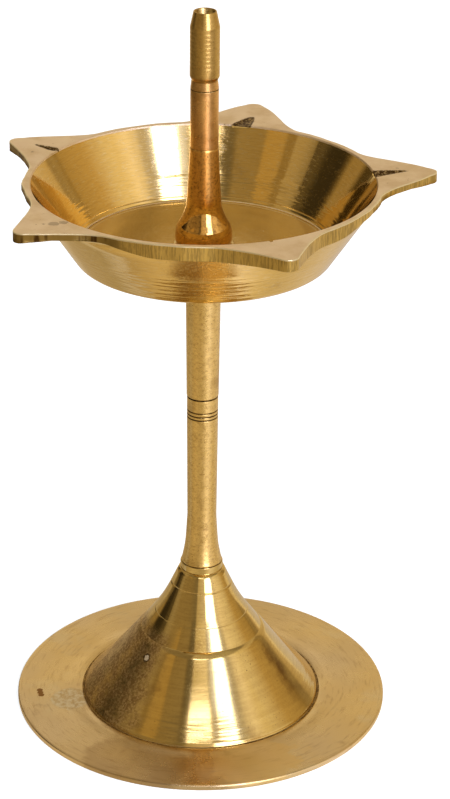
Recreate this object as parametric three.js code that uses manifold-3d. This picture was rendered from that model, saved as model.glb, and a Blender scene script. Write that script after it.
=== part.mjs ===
// Five-wick oil lamp: a brass stand whose eight turned pieces screw into each other.
// Millimetres, +Z up. The origin is the middle of the foot, on the surface it stands on.
// +X runs through the middle of the first ear of the dish.
import * as THREE from 'three';
import { mergeVertices } from 'three/addons/utils/BufferGeometryUtils.js';
import Module from 'manifold-3d';

const wasm = await Module();
wasm.setup();

// Foot: a flat plate and a hollow cone, cast in one and turned
const plateRadius = 48.1;
const plateThickness = 1.5;
const plateEdgeRounding = 0.5;
const coneFootRadius = 30.6;
const coneFootLip = 0.9;
const coneHeight = 35.8;
const coneTopRadius = 5.75;
const coneWaistRise = 18.7;
const coneWaistRadius = 15.5;
const coneShoulderRise = 26.5;
const coneShoulderRadius = 10.2;
const coneStepDepth = 0.3;
const footGrooveWidth = 0.7;
const footGrooveDepth = 0.5;
const plateShoulderWidth = 2.6;
const plateShoulderRise = 0.4;
const neckHeight = 1.85;
const neckRadius = 5.45;
const footWall = 2.3;
const hollowHeight = 25;
const hollowTopRadius = 7.4;

// Stem: two turned rods, with a foot that flares out on the cone's neck
const lowerStemLength = 46.65;
const stemFootRadius = 5.25;
const stemFootFlareHeight = 13.2;
const stemWaistRadius = 3.62;
const stemBandRadius = 3.82;
const stemBandHeight = 6.1;
const stemFlareShape = [[0.3, 0.15], [0.7, 0.45]];
const ringDepth = 0.28;
const ringWidth = 0.5;
const ringHeights = [0.55, 1.45, 2.45];
const upperStemLength = 37.7;
const upperStemBottomRadius = 3.92;
const upperStemTopRadius = 4.3;
const edgeBreak = 0.25;

// Dish: a turned bowl with a flat rim, cut and filed into five ears by hand
const dishFloorThickness = 2.5;
const bowlDepth = 16.8;
const bowlFloorRadius = 31;
const bowlFlare = 11;
const bowlWall = 1.75;
const bowlUnderRounding = 1;
const rimWidth = 1.6;
const rimThickness = 3.6;
const earTipThickness = 2.5;
const earTipHalfWidth = 2.5;
const earTipRounding = 1.6;
const earRootHalfAngle = 21;
const earSideSlope = 38;
const earSidePull = 7;
const earRootPull = 5;
const earCount = 5;
const earLengths = [13.6, 15.9, 12.7, 12.8, 10.9];
const earTurns = [2.3, -0.2, 0.3, -1, -1.7];
const wickGrooveLength = 7;
const wickGrooveWidth = 4;
const wickGrooveDepth = 0.8;

// Washer and finial: a bell foot, a plain rod and a bored tip
const washerThickness = 0.8;
const washerRadius = 7.6;
const finialFootHeight = 24.7;
const finialFootRadius = 7;
const finialFootSeatRadius = 6.2;
const finialFootBelly = 2.4;
const finialFootTopRadius = 3.65;
const finialBellShape = [[0.32, 0.27], [0.7, 0.44], [0.92, 0.7]];
const finialSeatBulge = 0.15;
const shaftLength = 16.6;
const shaftRadius = 3.45;
const jointNeckRadius = 3.05;
const jointBevel = 1.3;
const tipLength = 16.9;
const tipRadius = 3.58;
const tipConeLength = 3.8;
const tipMouthRadius = 2.75;
const tipMouthEdge = 0.25;
const tipBoreRadius = 1.5;
const tipBoreDepth = 8;
const tipCountersinkDepth = 2.2;

// Screwed joints: a threaded spigot in a socket, which is bored to the thread's outer size
const threadClearance = 0.3;
const threadPitch = 1.2;
const threadDepth = 0.4;
const threadRelief = 0.8;
const threadOverlap = 0.15;
const socketEndClearance = 1;
const footSpigotRadius = 2.4;
const footSpigotLength = 12;
const stemSpigotRadius = 2;
const stemSpigotLength = 8;
const dishSpigotRadius = 2;
const dishSpigotReach = 9;
const shaftSpigotRadius = 1.9;
const shaftSpigotLength = 6;
const tipSpigotRadius = 1.8;
const tipSpigotLength = 5;

// How far a cut runs past the face that it opens
const overcut = 1;

// Facets round each piece
const wideFacets = 72;
const rodFacets = 32;
const spigotFacets = 16;

// Heights where the pieces meet, from the surface up
const plateTop = plateThickness;
const coneTop = plateTop + coneHeight;
const footTop = coneTop + neckHeight;
const stemJoint = footTop + lowerStemLength;
const dishUnder = stemJoint + upperStemLength;
const bowlFloor = dishUnder + dishFloorThickness;
const rimTop = bowlFloor + bowlDepth;
const washerTop = bowlFloor + washerThickness;
const finialJoint = washerTop + finialFootHeight;
const tipJoint = finialJoint + shaftLength;
const lampTop = tipJoint + tipLength;

// Radii of the dish: the wall leans out from the floor to the mouth, and the rim stands round it
const bowlMouthRadius = bowlFloorRadius + bowlFlare;
const rimRadius = bowlMouthRadius + rimWidth;
const wallSlope = bowlFlare / bowlDepth;

// Points [radius, height] round an arc, from one angle to another in degrees
function arc(middleRadius, middleHeight, radius, from, to, steps) {
  const points = [];
  for (let i = 0; i <= steps; i++) {
    const angle = THREE.MathUtils.degToRad(from + (to - from) * i / steps);
    points.push([middleRadius + radius * Math.cos(angle), middleHeight + radius * Math.sin(angle)]);
  }
  return points;
}

// Points of a smooth curve through a few [radius, height] points
function curve(through, steps) {
  const line = new THREE.SplineCurve(through.map(([r, z]) => new THREE.Vector2(r, z)));
  return line.getPoints(steps).map((p) => [p.x, p.y]);
}

// Solid from a closed geometry: only positions count, and shared corners are merged
function solidOf(geometry) {
  const plain = geometry.index ? geometry.toNonIndexed() : geometry.clone();
  plain.deleteAttribute('normal');
  plain.deleteAttribute('uv');
  const merged = mergeVertices(plain, 1e-4);
  const corners = merged.index.array;
  const kept = [];
  for (let i = 0; i < corners.length; i += 3) {
    const [a, b, c] = [corners[i], corners[i + 1], corners[i + 2]];
    if (a !== b && b !== c && c !== a) kept.push(a, b, c);
  }
  const vertProperties = new Float32Array(merged.attributes.position.array);
  return new wasm.Manifold(new wasm.Mesh({ numProp: 3, vertProperties, triVerts: new Uint32Array(kept) }));
}

// Turned solid: a profile of [radius, height] points, revolved about Z
function turned(profile, facets) {
  const points = profile.map(([r, z]) => new THREE.Vector2(r, z));
  const geometry = new THREE.LatheGeometry(points, facets);
  geometry.rotateX(Math.PI / 2);
  return solidOf(geometry);
}

// Ridge of a screw thread: a triangle swept up a helix, its root just inside the core
function threadRidge(radius, bottom, top) {
  const root = radius - threadDepth - threadOverlap;
  const half = threadPitch / 2 - threadOverlap;
  const turns = (top - bottom - 2 * half) / threadPitch;
  const steps = Math.max(2, Math.floor(turns * spigotFacets));
  const section = (i) => {
    const angle = 2 * Math.PI * i / spigotFacets;
    const middle = bottom + half + threadPitch * i / spigotFacets;
    return [[root, -half], [radius, 0], [root, half]].map(([r, z]) => (
      [r * Math.cos(angle), r * Math.sin(angle), middle + z]));
  };
  const corners = [];
  for (let i = 0; i < steps; i++) {
    const [near, far] = [section(i), section(i + 1)];
    for (let k = 0; k < near.length; k++) {
      const m = (k + 1) % near.length;
      corners.push(near[k], far[k], near[m], near[m], far[k], far[m]);
    }
  }
  const [first, last] = [section(0), section(steps)];
  corners.push(first[0], first[1], first[2], last[0], last[2], last[1]);
  const geometry = new THREE.BufferGeometry();
  geometry.setAttribute('position', new THREE.Float32BufferAttribute(corners.flat(), 3));
  return solidOf(geometry);
}

// Threaded spigot from its free end to its shoulder, which lies above or below it
function spigot(radius, end, shoulder) {
  const core = radius - threadDepth;
  const up = Math.sign(end - shoulder);
  const root = shoulder - up * edgeBreak;
  const [low, high] = [Math.min(end, root), Math.max(end, root)];
  const rod = turned([[0, low], [core, low], [core, high], [0, high]], spigotFacets);
  const [from, to] = up > 0 ? [shoulder + threadRelief, end] : [end, shoulder - threadRelief];
  return rod.add(threadRidge(radius, from, to));
}

function geometryOf(solid) {
  const { vertProperties, triVerts } = solid.getMesh();
  const geometry = new THREE.BufferGeometry();
  geometry.setAttribute('position', new THREE.BufferAttribute(new Float32Array(vertProperties), 3));
  geometry.setIndex(new THREE.BufferAttribute(new Uint32Array(triVerts), 1));
  geometry.computeVertexNormals();
  return geometry;
}

function foot() {
  const socket = footSpigotRadius + threadClearance;
  const waistHeight = plateTop + coneWaistRise;
  const shoulderHeight = plateTop + coneShoulderRise;
  const grooveFloor = plateTop - footGrooveDepth;
  const grooveOuter = coneFootRadius + footGrooveWidth;
  const lipTop = plateTop + coneFootLip;
  const lipRadius = coneFootRadius - coneFootLip / 2;
  const side = curve([
    [lipRadius, lipTop],
    [(lipRadius + coneWaistRadius) / 2 - coneStepDepth, (lipTop + waistHeight) / 2],
    [coneWaistRadius + coneStepDepth, waistHeight],
  ], 6);
  const crown = curve([
    [coneWaistRadius, waistHeight],
    [coneShoulderRadius, shoulderHeight],
    [coneTopRadius, coneTop],
  ], 8);
  const profile = [
    ...arc(plateRadius - plateEdgeRounding, plateEdgeRounding, plateEdgeRounding, -90, 0, 2),
    ...arc(plateRadius - plateEdgeRounding, plateTop - plateEdgeRounding, plateEdgeRounding, 0, 90, 2),
    [grooveOuter + plateShoulderWidth, plateTop],
    [grooveOuter + plateShoulderWidth / 2, plateTop + plateShoulderRise],
    [grooveOuter, plateTop + plateShoulderRise / 2],
    [grooveOuter - footGrooveWidth / 2, grooveFloor],
    [coneFootRadius, plateTop],
    ...side,
    ...crown,
    [neckRadius, coneTop],
    [neckRadius, footTop - edgeBreak],
    [neckRadius - edgeBreak, footTop],
    [socket, footTop],
    [socket, hollowHeight],
    [hollowTopRadius, hollowHeight],
    [coneFootRadius - footWall, 0],
    [plateRadius - plateEdgeRounding, 0],
  ];
  return turned(profile, wideFacets);
}

// Grooves cut into a rod, as profile points from the lowest groove up
function ringGrooves(radius, bottom) {
  return ringHeights.flatMap((height) => [
    [radius, bottom + height - ringWidth / 2],
    [radius - ringDepth, bottom + height],
    [radius, bottom + height + ringWidth / 2],
  ]);
}

function lowerStem() {
  const bandBottom = stemJoint - stemBandHeight;
  const socket = stemSpigotRadius + threadClearance;
  const socketBottom = stemJoint - stemSpigotLength - socketEndClearance;
  const narrowing = stemFootRadius - stemWaistRadius;
  const flare = curve([
    [stemFootRadius, footTop + edgeBreak],
    ...stemFlareShape.map(([inward, upward]) => (
      [stemFootRadius - inward * narrowing, footTop + upward * stemFootFlareHeight])),
    [stemWaistRadius, footTop + stemFootFlareHeight],
  ], 8);
  const profile = [
    [0, footTop],
    [stemFootRadius - edgeBreak, footTop],
    ...flare,
    [stemBandRadius, bandBottom],
    ...ringGrooves(stemBandRadius, bandBottom),
    [stemBandRadius, stemJoint - edgeBreak],
    [stemBandRadius - edgeBreak, stemJoint],
    [socket, stemJoint],
    [socket, socketBottom],
    [0, socketBottom],
  ];
  return turned(profile, rodFacets)
    .add(spigot(footSpigotRadius, footTop - footSpigotLength, footTop));
}

function upperStem() {
  const profile = [
    [0, stemJoint],
    [upperStemBottomRadius - edgeBreak, stemJoint],
    [upperStemBottomRadius, stemJoint + edgeBreak],
    [upperStemTopRadius, dishUnder],
    [dishSpigotRadius, dishUnder],
    [dishSpigotRadius, washerTop],
    [0, washerTop],
  ];
  return turned(profile, rodFacets)
    .add(spigot(stemSpigotRadius, stemJoint - stemSpigotLength, stemJoint))
    .add(spigot(dishSpigotRadius, washerTop + dishSpigotReach, washerTop));
}

// A point of the dish's outline, from its distance and its angle in degrees
function polar(distance, degrees) {
  const angle = THREE.MathUtils.degToRad(degrees);
  return new THREE.Vector2(distance * Math.cos(angle), distance * Math.sin(angle));
}

// Outline of the rim: a circle that runs out into one pointed ear in each fifth
function rimOutline() {
  const outline = new THREE.Path();
  const pitch = 360 / earCount;
  for (let i = 0; i < earCount; i++) {
    const middle = i * pitch + earTurns[i % earTurns.length];
    const next = (i + 1) * pitch + earTurns[(i + 1) % earTurns.length];
    const reach = rimRadius + earLengths[i % earLengths.length];
    const turn = THREE.MathUtils.degToRad(middle);
    const place = (x, y) => new THREE.Vector2(x, y).rotateAround(new THREE.Vector2(), turn);
    const root = polar(rimRadius, earRootHalfAngle);
    const tangent = polar(earRootPull, earRootHalfAngle - 90);
    const side = polar(earSidePull, 180 - earSideSlope);
    const corner = reach - earTipRounding;
    const enter = place(root.x, -root.y);
    if (i === 0) outline.moveTo(enter.x, enter.y);
    const points = [
      place(root.x + tangent.x, -root.y - tangent.y),
      place(corner + side.x, -earTipHalfWidth - side.y),
      place(corner, -earTipHalfWidth),
      place(reach + earTipRounding / 2, -earTipHalfWidth / 2),
      place(reach + earTipRounding / 2, earTipHalfWidth / 2),
      place(corner, earTipHalfWidth),
      place(corner + side.x, earTipHalfWidth + side.y),
      place(root.x + tangent.x, root.y + tangent.y),
      place(root.x, root.y),
    ];
    for (let k = 0; k < points.length; k += 3) {
      const [a, b, c] = points.slice(k, k + 3);
      outline.bezierCurveTo(a.x, a.y, b.x, b.y, c.x, c.y);
    }
    const from = THREE.MathUtils.degToRad(middle + earRootHalfAngle);
    const to = THREE.MathUtils.degToRad((i === earCount - 1 ? 360 + earTurns[0] : next) - earRootHalfAngle);
    outline.absarc(0, 0, rimRadius, from, to, false);
  }
  return outline;
}

// Plate with the rim's outline, its underside rising from the rim to the ear tips
function rimPlate() {
  const shape = new THREE.Shape(rimOutline().getPoints(8));
  const plate = new THREE.ExtrudeGeometry(shape, { depth: rimThickness, bevelEnabled: false });
  plate.translate(0, 0, rimTop - rimThickness);
  const tip = rimRadius + Math.max(...earLengths) + earTipRounding;
  const under = turned([
    [rimRadius, rimTop - rimThickness - overcut],
    [tip, rimTop - rimThickness - overcut],
    [tip, rimTop - earTipThickness],
    [rimRadius, rimTop - rimThickness],
    [rimRadius, rimTop - rimThickness - overcut],
  ], wideFacets);
  return solidOf(plate).subtract(under);
}

// File-cut groove of one wick: a V that starts at the bowl and runs out along the ear
function wickGroove(turn) {
  const radius = wickGrooveWidth / 2;
  const cone = new THREE.ConeGeometry(radius, wickGrooveLength, 4);
  cone.rotateZ(-Math.PI / 2);
  cone.scale(1, 1, wickGrooveDepth / radius);
  cone.translate(bowlMouthRadius + wickGrooveLength / 2, 0, rimTop);
  cone.rotateZ(turn);
  return solidOf(cone);
}

function dish() {
  const wallRadius = (height) => bowlFloorRadius + bowlWall + wallSlope * (height - bowlFloor);
  const inRim = rimTop - rimThickness / 2;
  const body = turned([
    [0, dishUnder],
    [wallRadius(dishUnder) - bowlUnderRounding, dishUnder],
    [wallRadius(dishUnder + bowlUnderRounding / 2), dishUnder + bowlUnderRounding / 2],
    [wallRadius(rimTop - rimThickness), rimTop - rimThickness],
    [bowlMouthRadius, inRim],
    [0, inRim],
  ], wideFacets);
  const hollow = turned([
    [0, bowlFloor],
    [bowlFloorRadius, bowlFloor],
    [bowlMouthRadius + wallSlope * overcut, rimTop + overcut],
    [0, rimTop + overcut],
  ], wideFacets);
  const holeRadius = dishSpigotRadius + threadClearance;
  const hole = turned([
    [0, dishUnder - overcut],
    [holeRadius, dishUnder - overcut],
    [holeRadius, bowlFloor + overcut],
    [0, bowlFloor + overcut],
  ], rodFacets);
  let solid = body.add(rimPlate()).subtract(hollow).subtract(hole);
  for (let i = 0; i < earCount; i++) {
    const degrees = i * 360 / earCount + earTurns[i % earTurns.length];
    solid = solid.subtract(wickGroove(THREE.MathUtils.degToRad(degrees)));
  }
  return solid;
}

function washer() {
  const hole = dishSpigotRadius + threadClearance;
  const profile = [
    [hole, bowlFloor],
    [washerRadius, bowlFloor],
    [washerRadius, washerTop - washerThickness / 3],
    [washerRadius - washerThickness / 3, washerTop],
    [hole, washerTop],
    [hole, bowlFloor],
  ];
  return turned(profile, rodFacets);
}

function finialFoot() {
  const socket = dishSpigotRadius + threadClearance;
  const socketTop = washerTop + dishSpigotReach + socketEndClearance;
  const upperSocket = shaftSpigotRadius + threadClearance;
  const upperSocketBottom = finialJoint - shaftSpigotLength - socketEndClearance;
  const narrowing = finialFootRadius - finialFootTopRadius;
  const bell = curve([
    [finialFootSeatRadius, washerTop],
    [finialFootRadius - finialSeatBulge, washerTop + finialFootBelly / 2],
    [finialFootRadius, washerTop + finialFootBelly],
    ...finialBellShape.map(([inward, upward]) => (
      [finialFootRadius - inward * narrowing, washerTop + upward * finialFootHeight])),
    [finialFootTopRadius, finialJoint],
  ], 18);
  const profile = [
    [0, socketTop],
    [socket, socketTop],
    [socket, washerTop],
    ...bell,
    [upperSocket, finialJoint],
    [upperSocket, upperSocketBottom],
    [0, upperSocketBottom],
  ];
  return turned(profile, rodFacets);
}

function finialShaft() {
  const socket = tipSpigotRadius + threadClearance;
  const socketBottom = tipJoint - tipSpigotLength - socketEndClearance;
  const profile = [
    [0, finialJoint],
    [shaftRadius, finialJoint],
    [shaftRadius, tipJoint - jointBevel],
    [jointNeckRadius, tipJoint],
    [socket, tipJoint],
    [socket, socketBottom],
    [0, socketBottom],
  ];
  return turned(profile, rodFacets)
    .add(spigot(shaftSpigotRadius, finialJoint - shaftSpigotLength, finialJoint));
}

function finialTip() {
  const profile = [
    [0, tipJoint],
    [jointNeckRadius, tipJoint],
    [jointNeckRadius, tipJoint + jointBevel / 4],
    [tipRadius, tipJoint + jointBevel],
    [tipRadius, lampTop - tipConeLength],
    [tipMouthRadius, lampTop],
    [tipMouthRadius - tipMouthEdge, lampTop],
    [tipBoreRadius, lampTop - tipCountersinkDepth],
    [tipBoreRadius, lampTop - tipBoreDepth],
    [0, lampTop - tipBoreDepth],
  ];
  return turned(profile, rodFacets)
    .add(spigot(tipSpigotRadius, tipJoint - tipSpigotLength, tipJoint));
}

// Finishes: the stand and dish are pale polished brass, the finial a redder one
const standBrass = { color: 0xc39a4e, roughness: 0.28, metalness: 1 };
const dishBrass = { color: 0xcba45c, roughness: 0.25, metalness: 1 };
const finialBrass = { color: 0xb5762f, roughness: 0.3, metalness: 1 };

function piece(name, solid, finish) {
  const mesh = new THREE.Mesh(geometryOf(solid), new THREE.MeshStandardMaterial(finish));
  mesh.name = name;
  return mesh;
}

const lamp = new THREE.Group();
lamp.add(
  piece('foot_plate_and_cone', foot(), standBrass),
  piece('lower_stem', lowerStem(), standBrass),
  piece('upper_stem', upperStem(), standBrass),
  piece('five_ear_dish', dish(), dishBrass),
  piece('seal_washer', washer(), dishBrass),
  piece('finial_foot', finialFoot(), finialBrass),
  piece('finial_shaft', finialShaft(), finialBrass),
  piece('finial_tip', finialTip(), finialBrass),
);

export default lamp;
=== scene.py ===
# %% [markdown]
# # A turned brass oil lamp
# The lamp is a small brass stand: a round foot, a thin stem, an open dish for the oil with five pointed
# ears that hold the wicks, and a bored finial that clamps the dish. Eight pieces screw into each other.
# The solid model gives where each piece is. This lesson makes the fine surface of every piece round it,
# then the finishes, the studio and the camera.

# %% Load the solid model
import math

import bpy
import numpy as np
from mathutils import Matrix, Vector


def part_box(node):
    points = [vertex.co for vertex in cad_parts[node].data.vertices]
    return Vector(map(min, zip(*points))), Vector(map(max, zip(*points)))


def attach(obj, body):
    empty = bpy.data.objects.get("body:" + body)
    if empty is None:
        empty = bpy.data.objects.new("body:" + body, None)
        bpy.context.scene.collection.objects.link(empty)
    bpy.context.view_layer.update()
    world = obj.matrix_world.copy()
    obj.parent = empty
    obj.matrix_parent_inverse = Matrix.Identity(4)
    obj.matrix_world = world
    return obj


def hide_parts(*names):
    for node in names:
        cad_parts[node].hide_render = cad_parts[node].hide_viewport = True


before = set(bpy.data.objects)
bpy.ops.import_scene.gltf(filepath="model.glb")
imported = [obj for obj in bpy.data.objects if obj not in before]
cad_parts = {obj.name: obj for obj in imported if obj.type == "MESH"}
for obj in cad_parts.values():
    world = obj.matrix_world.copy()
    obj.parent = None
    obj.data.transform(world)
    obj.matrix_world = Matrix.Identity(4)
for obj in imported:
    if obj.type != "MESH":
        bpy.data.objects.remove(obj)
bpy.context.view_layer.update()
print("solid model:", sorted(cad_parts))

# %% [markdown]
# ## Heights and sizes
# The pieces meet at flat shoulders, so the solid model's boxes give every height. The other sizes are the
# same named ones that a maker would have on a drawing, in millimetres. Blender works in metres, so the
# last step of each mesh multiplies by one constant.

# %% Heights read from the solid model
MM = 0.001


def top_of(node):
    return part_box(node)[1].z / MM


def bottom_of(node):
    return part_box(node)[0].z / MM


foot_top = top_of("foot_plate_and_cone")
stem_joint = top_of("lower_stem")
dish_under = bottom_of("five_ear_dish")
rim_top = top_of("five_ear_dish")
bowl_floor = bottom_of("seal_washer")
washer_top = top_of("seal_washer")
finial_joint = top_of("finial_foot")
tip_joint = top_of("finial_shaft")
lamp_top = top_of("finial_tip")
plate_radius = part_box("foot_plate_and_cone")[1].x / MM
print("lamp height", round(lamp_top, 2), "mm, foot", round(2 * plate_radius, 1), "mm across")

# %% [markdown]
# ## Profiles
# A lathe makes a shape from one line, so each piece starts as a profile: a few corners, each with a
# rounding, since no real edge is perfectly sharp. A corner also says what happens to its ring: how far it
# follows the ears outwards (reach) and upwards (lift), whether it carries a thread, and which finish it
# gets. Doing the rounding on the profile keeps the mesh light and the highlights on edges true.

# %% Profile helpers
RADIUS, HEIGHT, REACH, LIFT, THREAD, FINISH = range(6)
LONGEST_ROW, THREAD_ROW = 2.6, 0.1
FINE_ROUNDING, ROUNDING_SHARE, SUPPORT = 0.12, 0.45, 1.5
# Grooves and joints get a dark finish: part old oil, part painted shade in the recess.
POLISHED, THREADED, GRIME_AND_SHADE, SATIN_ZONE = range(4)


def corner(radius, height, rounding=0.0, reach=0.0, lift=0.0, thread=0.0, finish=0.0):
    return np.array([radius, height, reach, lift, thread, finish], float), rounding


def run(*places, **marks):
    """Corners at several (radius, height, rounding) places that share their other marks."""
    return [corner(*place, **marks) for place in places]


def rounded(corners):
    """Rows of a profile, each rounded corner drawn as a short curve with a support row on both sides."""
    rows = []
    for i, (here, rounding) in enumerate(corners):
        if rounding == 0 or i in (0, len(corners) - 1):
            rows.append(here)
            continue
        before, after = corners[i - 1][0] - here, corners[i + 1][0] - here
        room = [math.hypot(side[RADIUS], side[HEIGHT]) for side in (before, after)]
        cut = min([rounding] + [ROUNDING_SHARE * space for space in room])
        start, end = here + before * cut / room[0], here + after * cut / room[1]
        rows.append(here + before * min(SUPPORT * cut / room[0], 0.5))
        for t in np.linspace(0, 1, 3 if rounding < FINE_ROUNDING else 5):
            rows.append((1 - t) ** 2 * start + 2 * t * (1 - t) * here + t ** 2 * end)
        rows.append(here + after * min(SUPPORT * cut / room[1], 0.5))
    return rows


def refined(rows):
    """The same rows with long steps divided: finely where there is a thread, coarsely elsewhere."""
    result = [rows[0]]
    for before, after in zip(rows, rows[1:]):
        length = math.hypot(*(after - before)[:2])
        threaded = before[THREAD] > 0 and after[THREAD] > 0
        steps = max(1, math.ceil(length / (THREAD_ROW if threaded else LONGEST_ROW)))
        result += [before + (after - before) * k / steps for k in range(1, steps + 1)]
    return result


def curve(points, steps):
    """Corners along a smooth line through a few (radius, height) points."""
    line = [np.array(p, float) for p in points]
    line = [2 * line[0] - line[1]] + line + [2 * line[-1] - line[-2]]
    corners = []
    for k in range(1, len(line) - 2):
        p0, p1, p2, p3 = line[k - 1:k + 3]
        last = k == len(line) - 3
        for t in np.linspace(0, 1, steps + 1)[:steps + last]:
            point = 0.5 * (2 * p1 + (p2 - p0) * t + (2 * p0 - 5 * p1 + 4 * p2 - p3) * t ** 2
                           + (3 * p1 - p0 - 3 * p2 + p3) * t ** 3)
            corners.append(corner(*point))
    return corners


def grooved(corners, height, width, depth, finish=GRIME_AND_SHADE):
    """The same corners with a V cut in at one height."""
    heights, radii = np.array([here[:2] for here, _ in corners]).T[::-1]
    order = np.argsort(heights)
    at = lambda z: float(np.interp(z, heights[order], radii[order]))
    low, high = height - width / 2, height + width / 2
    cut = [corner(at(low), low, 0.06), corner(at(height) - depth, height, 0.05, finish=finish),
           corner(at(high), high, 0.06)]
    below = [c for c in corners if c[0][HEIGHT] < low - 0.05]
    above = [c for c in corners if c[0][HEIGHT] > high + 0.05]
    return below + cut + above


sample = rounded(run((0, 0), (10, 0, 1.0), (10, 10)))
print("a rounded corner takes", len(sample) - 2, "rows, and between two long sides", len(refined(sample)))


# %% [markdown]
# ## A lathe made of nodes
# Every piece is its profile swept round the axis, so one Geometry Nodes tree makes all eight. It lays a
# grid whose rows are the profile's rows and whose columns lie along an outline: a circle for a plain
# turned piece, or the rim with its ears for the dish. Rows marked with a reach follow the outline, and
# rows marked as thread get a helix. The first and last columns, and the points on the axis, are merged, so
# the result is one closed body.

# %% Node helpers and the lathe tree
NUMBER_RESULTS = ("LENGTH", "DISTANCE", "DOT_PRODUCT")
LATHE_INPUTS = {"Profile": "Geometry", "Outline": "Object", "Columns": "Int", "Rim Radius": "Float",
                "Thread Pitch": "Float", "Thread Depth": "Float", "Metal": "Material"}
MERGE_DISTANCE = 2e-7


def add(tree, kind, inputs=None, **settings):
    """Adds a node, sets its options, and fills its sockets with values or links."""
    node = tree.nodes.new(kind)
    for name, value in settings.items():
        setattr(node, name, value)
    for key, value in (inputs or {}).items():
        if isinstance(value, bpy.types.NodeSocket):
            tree.links.new(value, node.inputs[key])
        else:
            node.inputs[key].default_value = value
    return node


def math_node(tree, operation, *values):
    return add(tree, "ShaderNodeMath", dict(enumerate(values)), operation=operation).outputs[0]


def times(tree, first, second):
    return math_node(tree, "MULTIPLY", first, second)


def vector_node(tree, operation, *values):
    """Vector maths: a number for a length, a distance or a dot product, and a vector for the rest."""
    node = add(tree, "ShaderNodeVectorMath", dict(enumerate(values)), operation=operation)
    return node.outputs["Value" if operation in NUMBER_RESULTS else "Vector"]


def stretch(tree, vector, factor):
    return add(tree, "ShaderNodeVectorMath", {0: vector, "Scale": factor}, operation="SCALE").outputs[0]


def split(tree, vector):
    return add(tree, "ShaderNodeSeparateXYZ", {0: vector}).outputs


def join(tree, x=0.0, y=0.0, z=0.0):
    return add(tree, "ShaderNodeCombineXYZ", {"X": x, "Y": y, "Z": z}).outputs[0]


def lathe_tree():
    tree = bpy.data.node_groups.new("turned_piece", "GeometryNodeTree")
    for name, kind in LATHE_INPUTS.items():
        tree.interface.new_socket(name, in_out="INPUT", socket_type="NodeSocket" + kind)
    tree.interface.new_socket("Piece", in_out="OUTPUT", socket_type="NodeSocketGeometry")
    given = add(tree, "NodeGroupInput").outputs
    profile = given["Profile"]
    rows = add(tree, "GeometryNodeAttributeDomainSize", {0: profile}).outputs["Point Count"]
    around = math_node(tree, "ADD", given["Columns"], 1.0)
    grid = add(tree, "GeometryNodeMeshGrid", {"Vertices X": around, "Vertices Y": rows})
    index = add(tree, "GeometryNodeInputIndex").outputs[0]
    row = math_node(tree, "MODULO", index, rows)
    column = math_node(tree, "FLOOR", math_node(tree, "DIVIDE", math_node(tree, "ADD", index, 0.5), rows))
    share = math_node(tree, "DIVIDE", column, given["Columns"])

    def per_row(name):
        field = add(tree, "GeometryNodeInputNamedAttribute", {"Name": name}, data_type="FLOAT_VECTOR")
        sample = add(tree, "GeometryNodeSampleIndex", {0: profile, "Value": field.outputs[0], "Index": row},
                     data_type="FLOAT_VECTOR", domain="POINT")
        return split(tree, sample.outputs[0])

    place, follow, mark = per_row("place"), per_row("follow"), per_row("mark")
    outline = add(tree, "GeometryNodeObjectInfo", {"Object": given["Outline"]}).outputs["Geometry"]
    on_line = add(tree, "GeometryNodeSampleCurve", {0: outline, "Factor": share}, mode="FACTOR")
    outer = on_line.outputs["Position"]
    beyond = math_node(tree, "SUBTRACT", vector_node(tree, "LENGTH", outer), given["Rim Radius"])

    turn = math_node(tree, "DIVIDE", place["Y"], given["Thread Pitch"])
    phase = math_node(tree, "FRACT", math_node(tree, "ADD", math_node(tree, "SUBTRACT", turn, share), 1.0))
    ridge = math_node(tree, "PINGPONG", times(tree, phase, 2.0), 1.0)
    cut = times(tree, times(tree, ridge, given["Thread Depth"]), mark["X"])

    bare = math_node(tree, "SUBTRACT", place["X"], cut)
    radius = math_node(tree, "MULTIPLY_ADD", follow["X"], beyond, bare)
    height = math_node(tree, "MULTIPLY_ADD", follow["Y"], beyond, place["Y"])
    flat = stretch(tree, vector_node(tree, "NORMALIZE", outer), radius)
    point = vector_node(tree, "ADD", flat, join(tree, z=height))

    marked = add(tree, "GeometryNodeStoreNamedAttribute",
                 {"Geometry": grid.outputs["Mesh"], "Name": "finish", "Value": mark["Y"]},
                 data_type="FLOAT", domain="POINT").outputs[0]
    moved = add(tree, "GeometryNodeSetPosition", {0: marked, "Position": point}).outputs[0]
    merged = add(tree, "GeometryNodeMergeByDistance", {0: moved, "Distance": MERGE_DISTANCE}).outputs[0]
    smooth = add(tree, "GeometryNodeSetShadeSmooth", {0: merged, "Shade Smooth": True}).outputs[0]
    real = add(tree, "GeometryNodeRealizeInstances", {0: smooth}).outputs[0]
    metal = add(tree, "GeometryNodeSetMaterial", {0: real, "Material": given["Metal"]}).outputs[0]
    add(tree, "NodeGroupOutput", {"Piece": metal})
    return tree


lathe = lathe_tree()
print("lathe tree with", len(lathe.nodes), "nodes")

# %% [markdown]
# ## Colours and brass
# Brass is copper and zinc, and its colour is the colour of its reflection: more copper makes it redder.
# Where two faces of brass reflect each other the colour deepens by itself, so the base colours here are
# pale. A turned face is covered in fine rings left by the tool, a filed face in straight scratches, and
# both are drawn as a little bump and as a change of roughness, on the piece's own coordinates.

# %% Colour and pattern helpers
def linear(code):
    """A colour written as sRGB hex, turned to the linear values that a shader takes."""
    parts = [int(code[i:i + 2], 16) / 255 for i in (1, 3, 5)]
    return tuple(p / 12.92 if p <= 0.04045 else ((p + 0.055) / 1.055) ** 2.4 for p in parts) + (1.0,)


def new_material(name):
    material = bpy.data.materials.new(name)
    material.use_nodes = True
    tree = material.node_tree
    tree.nodes.clear()
    return material, tree


def object_point(tree):
    return add(tree, "ShaderNodeTexCoord").outputs["Object"]


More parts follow.
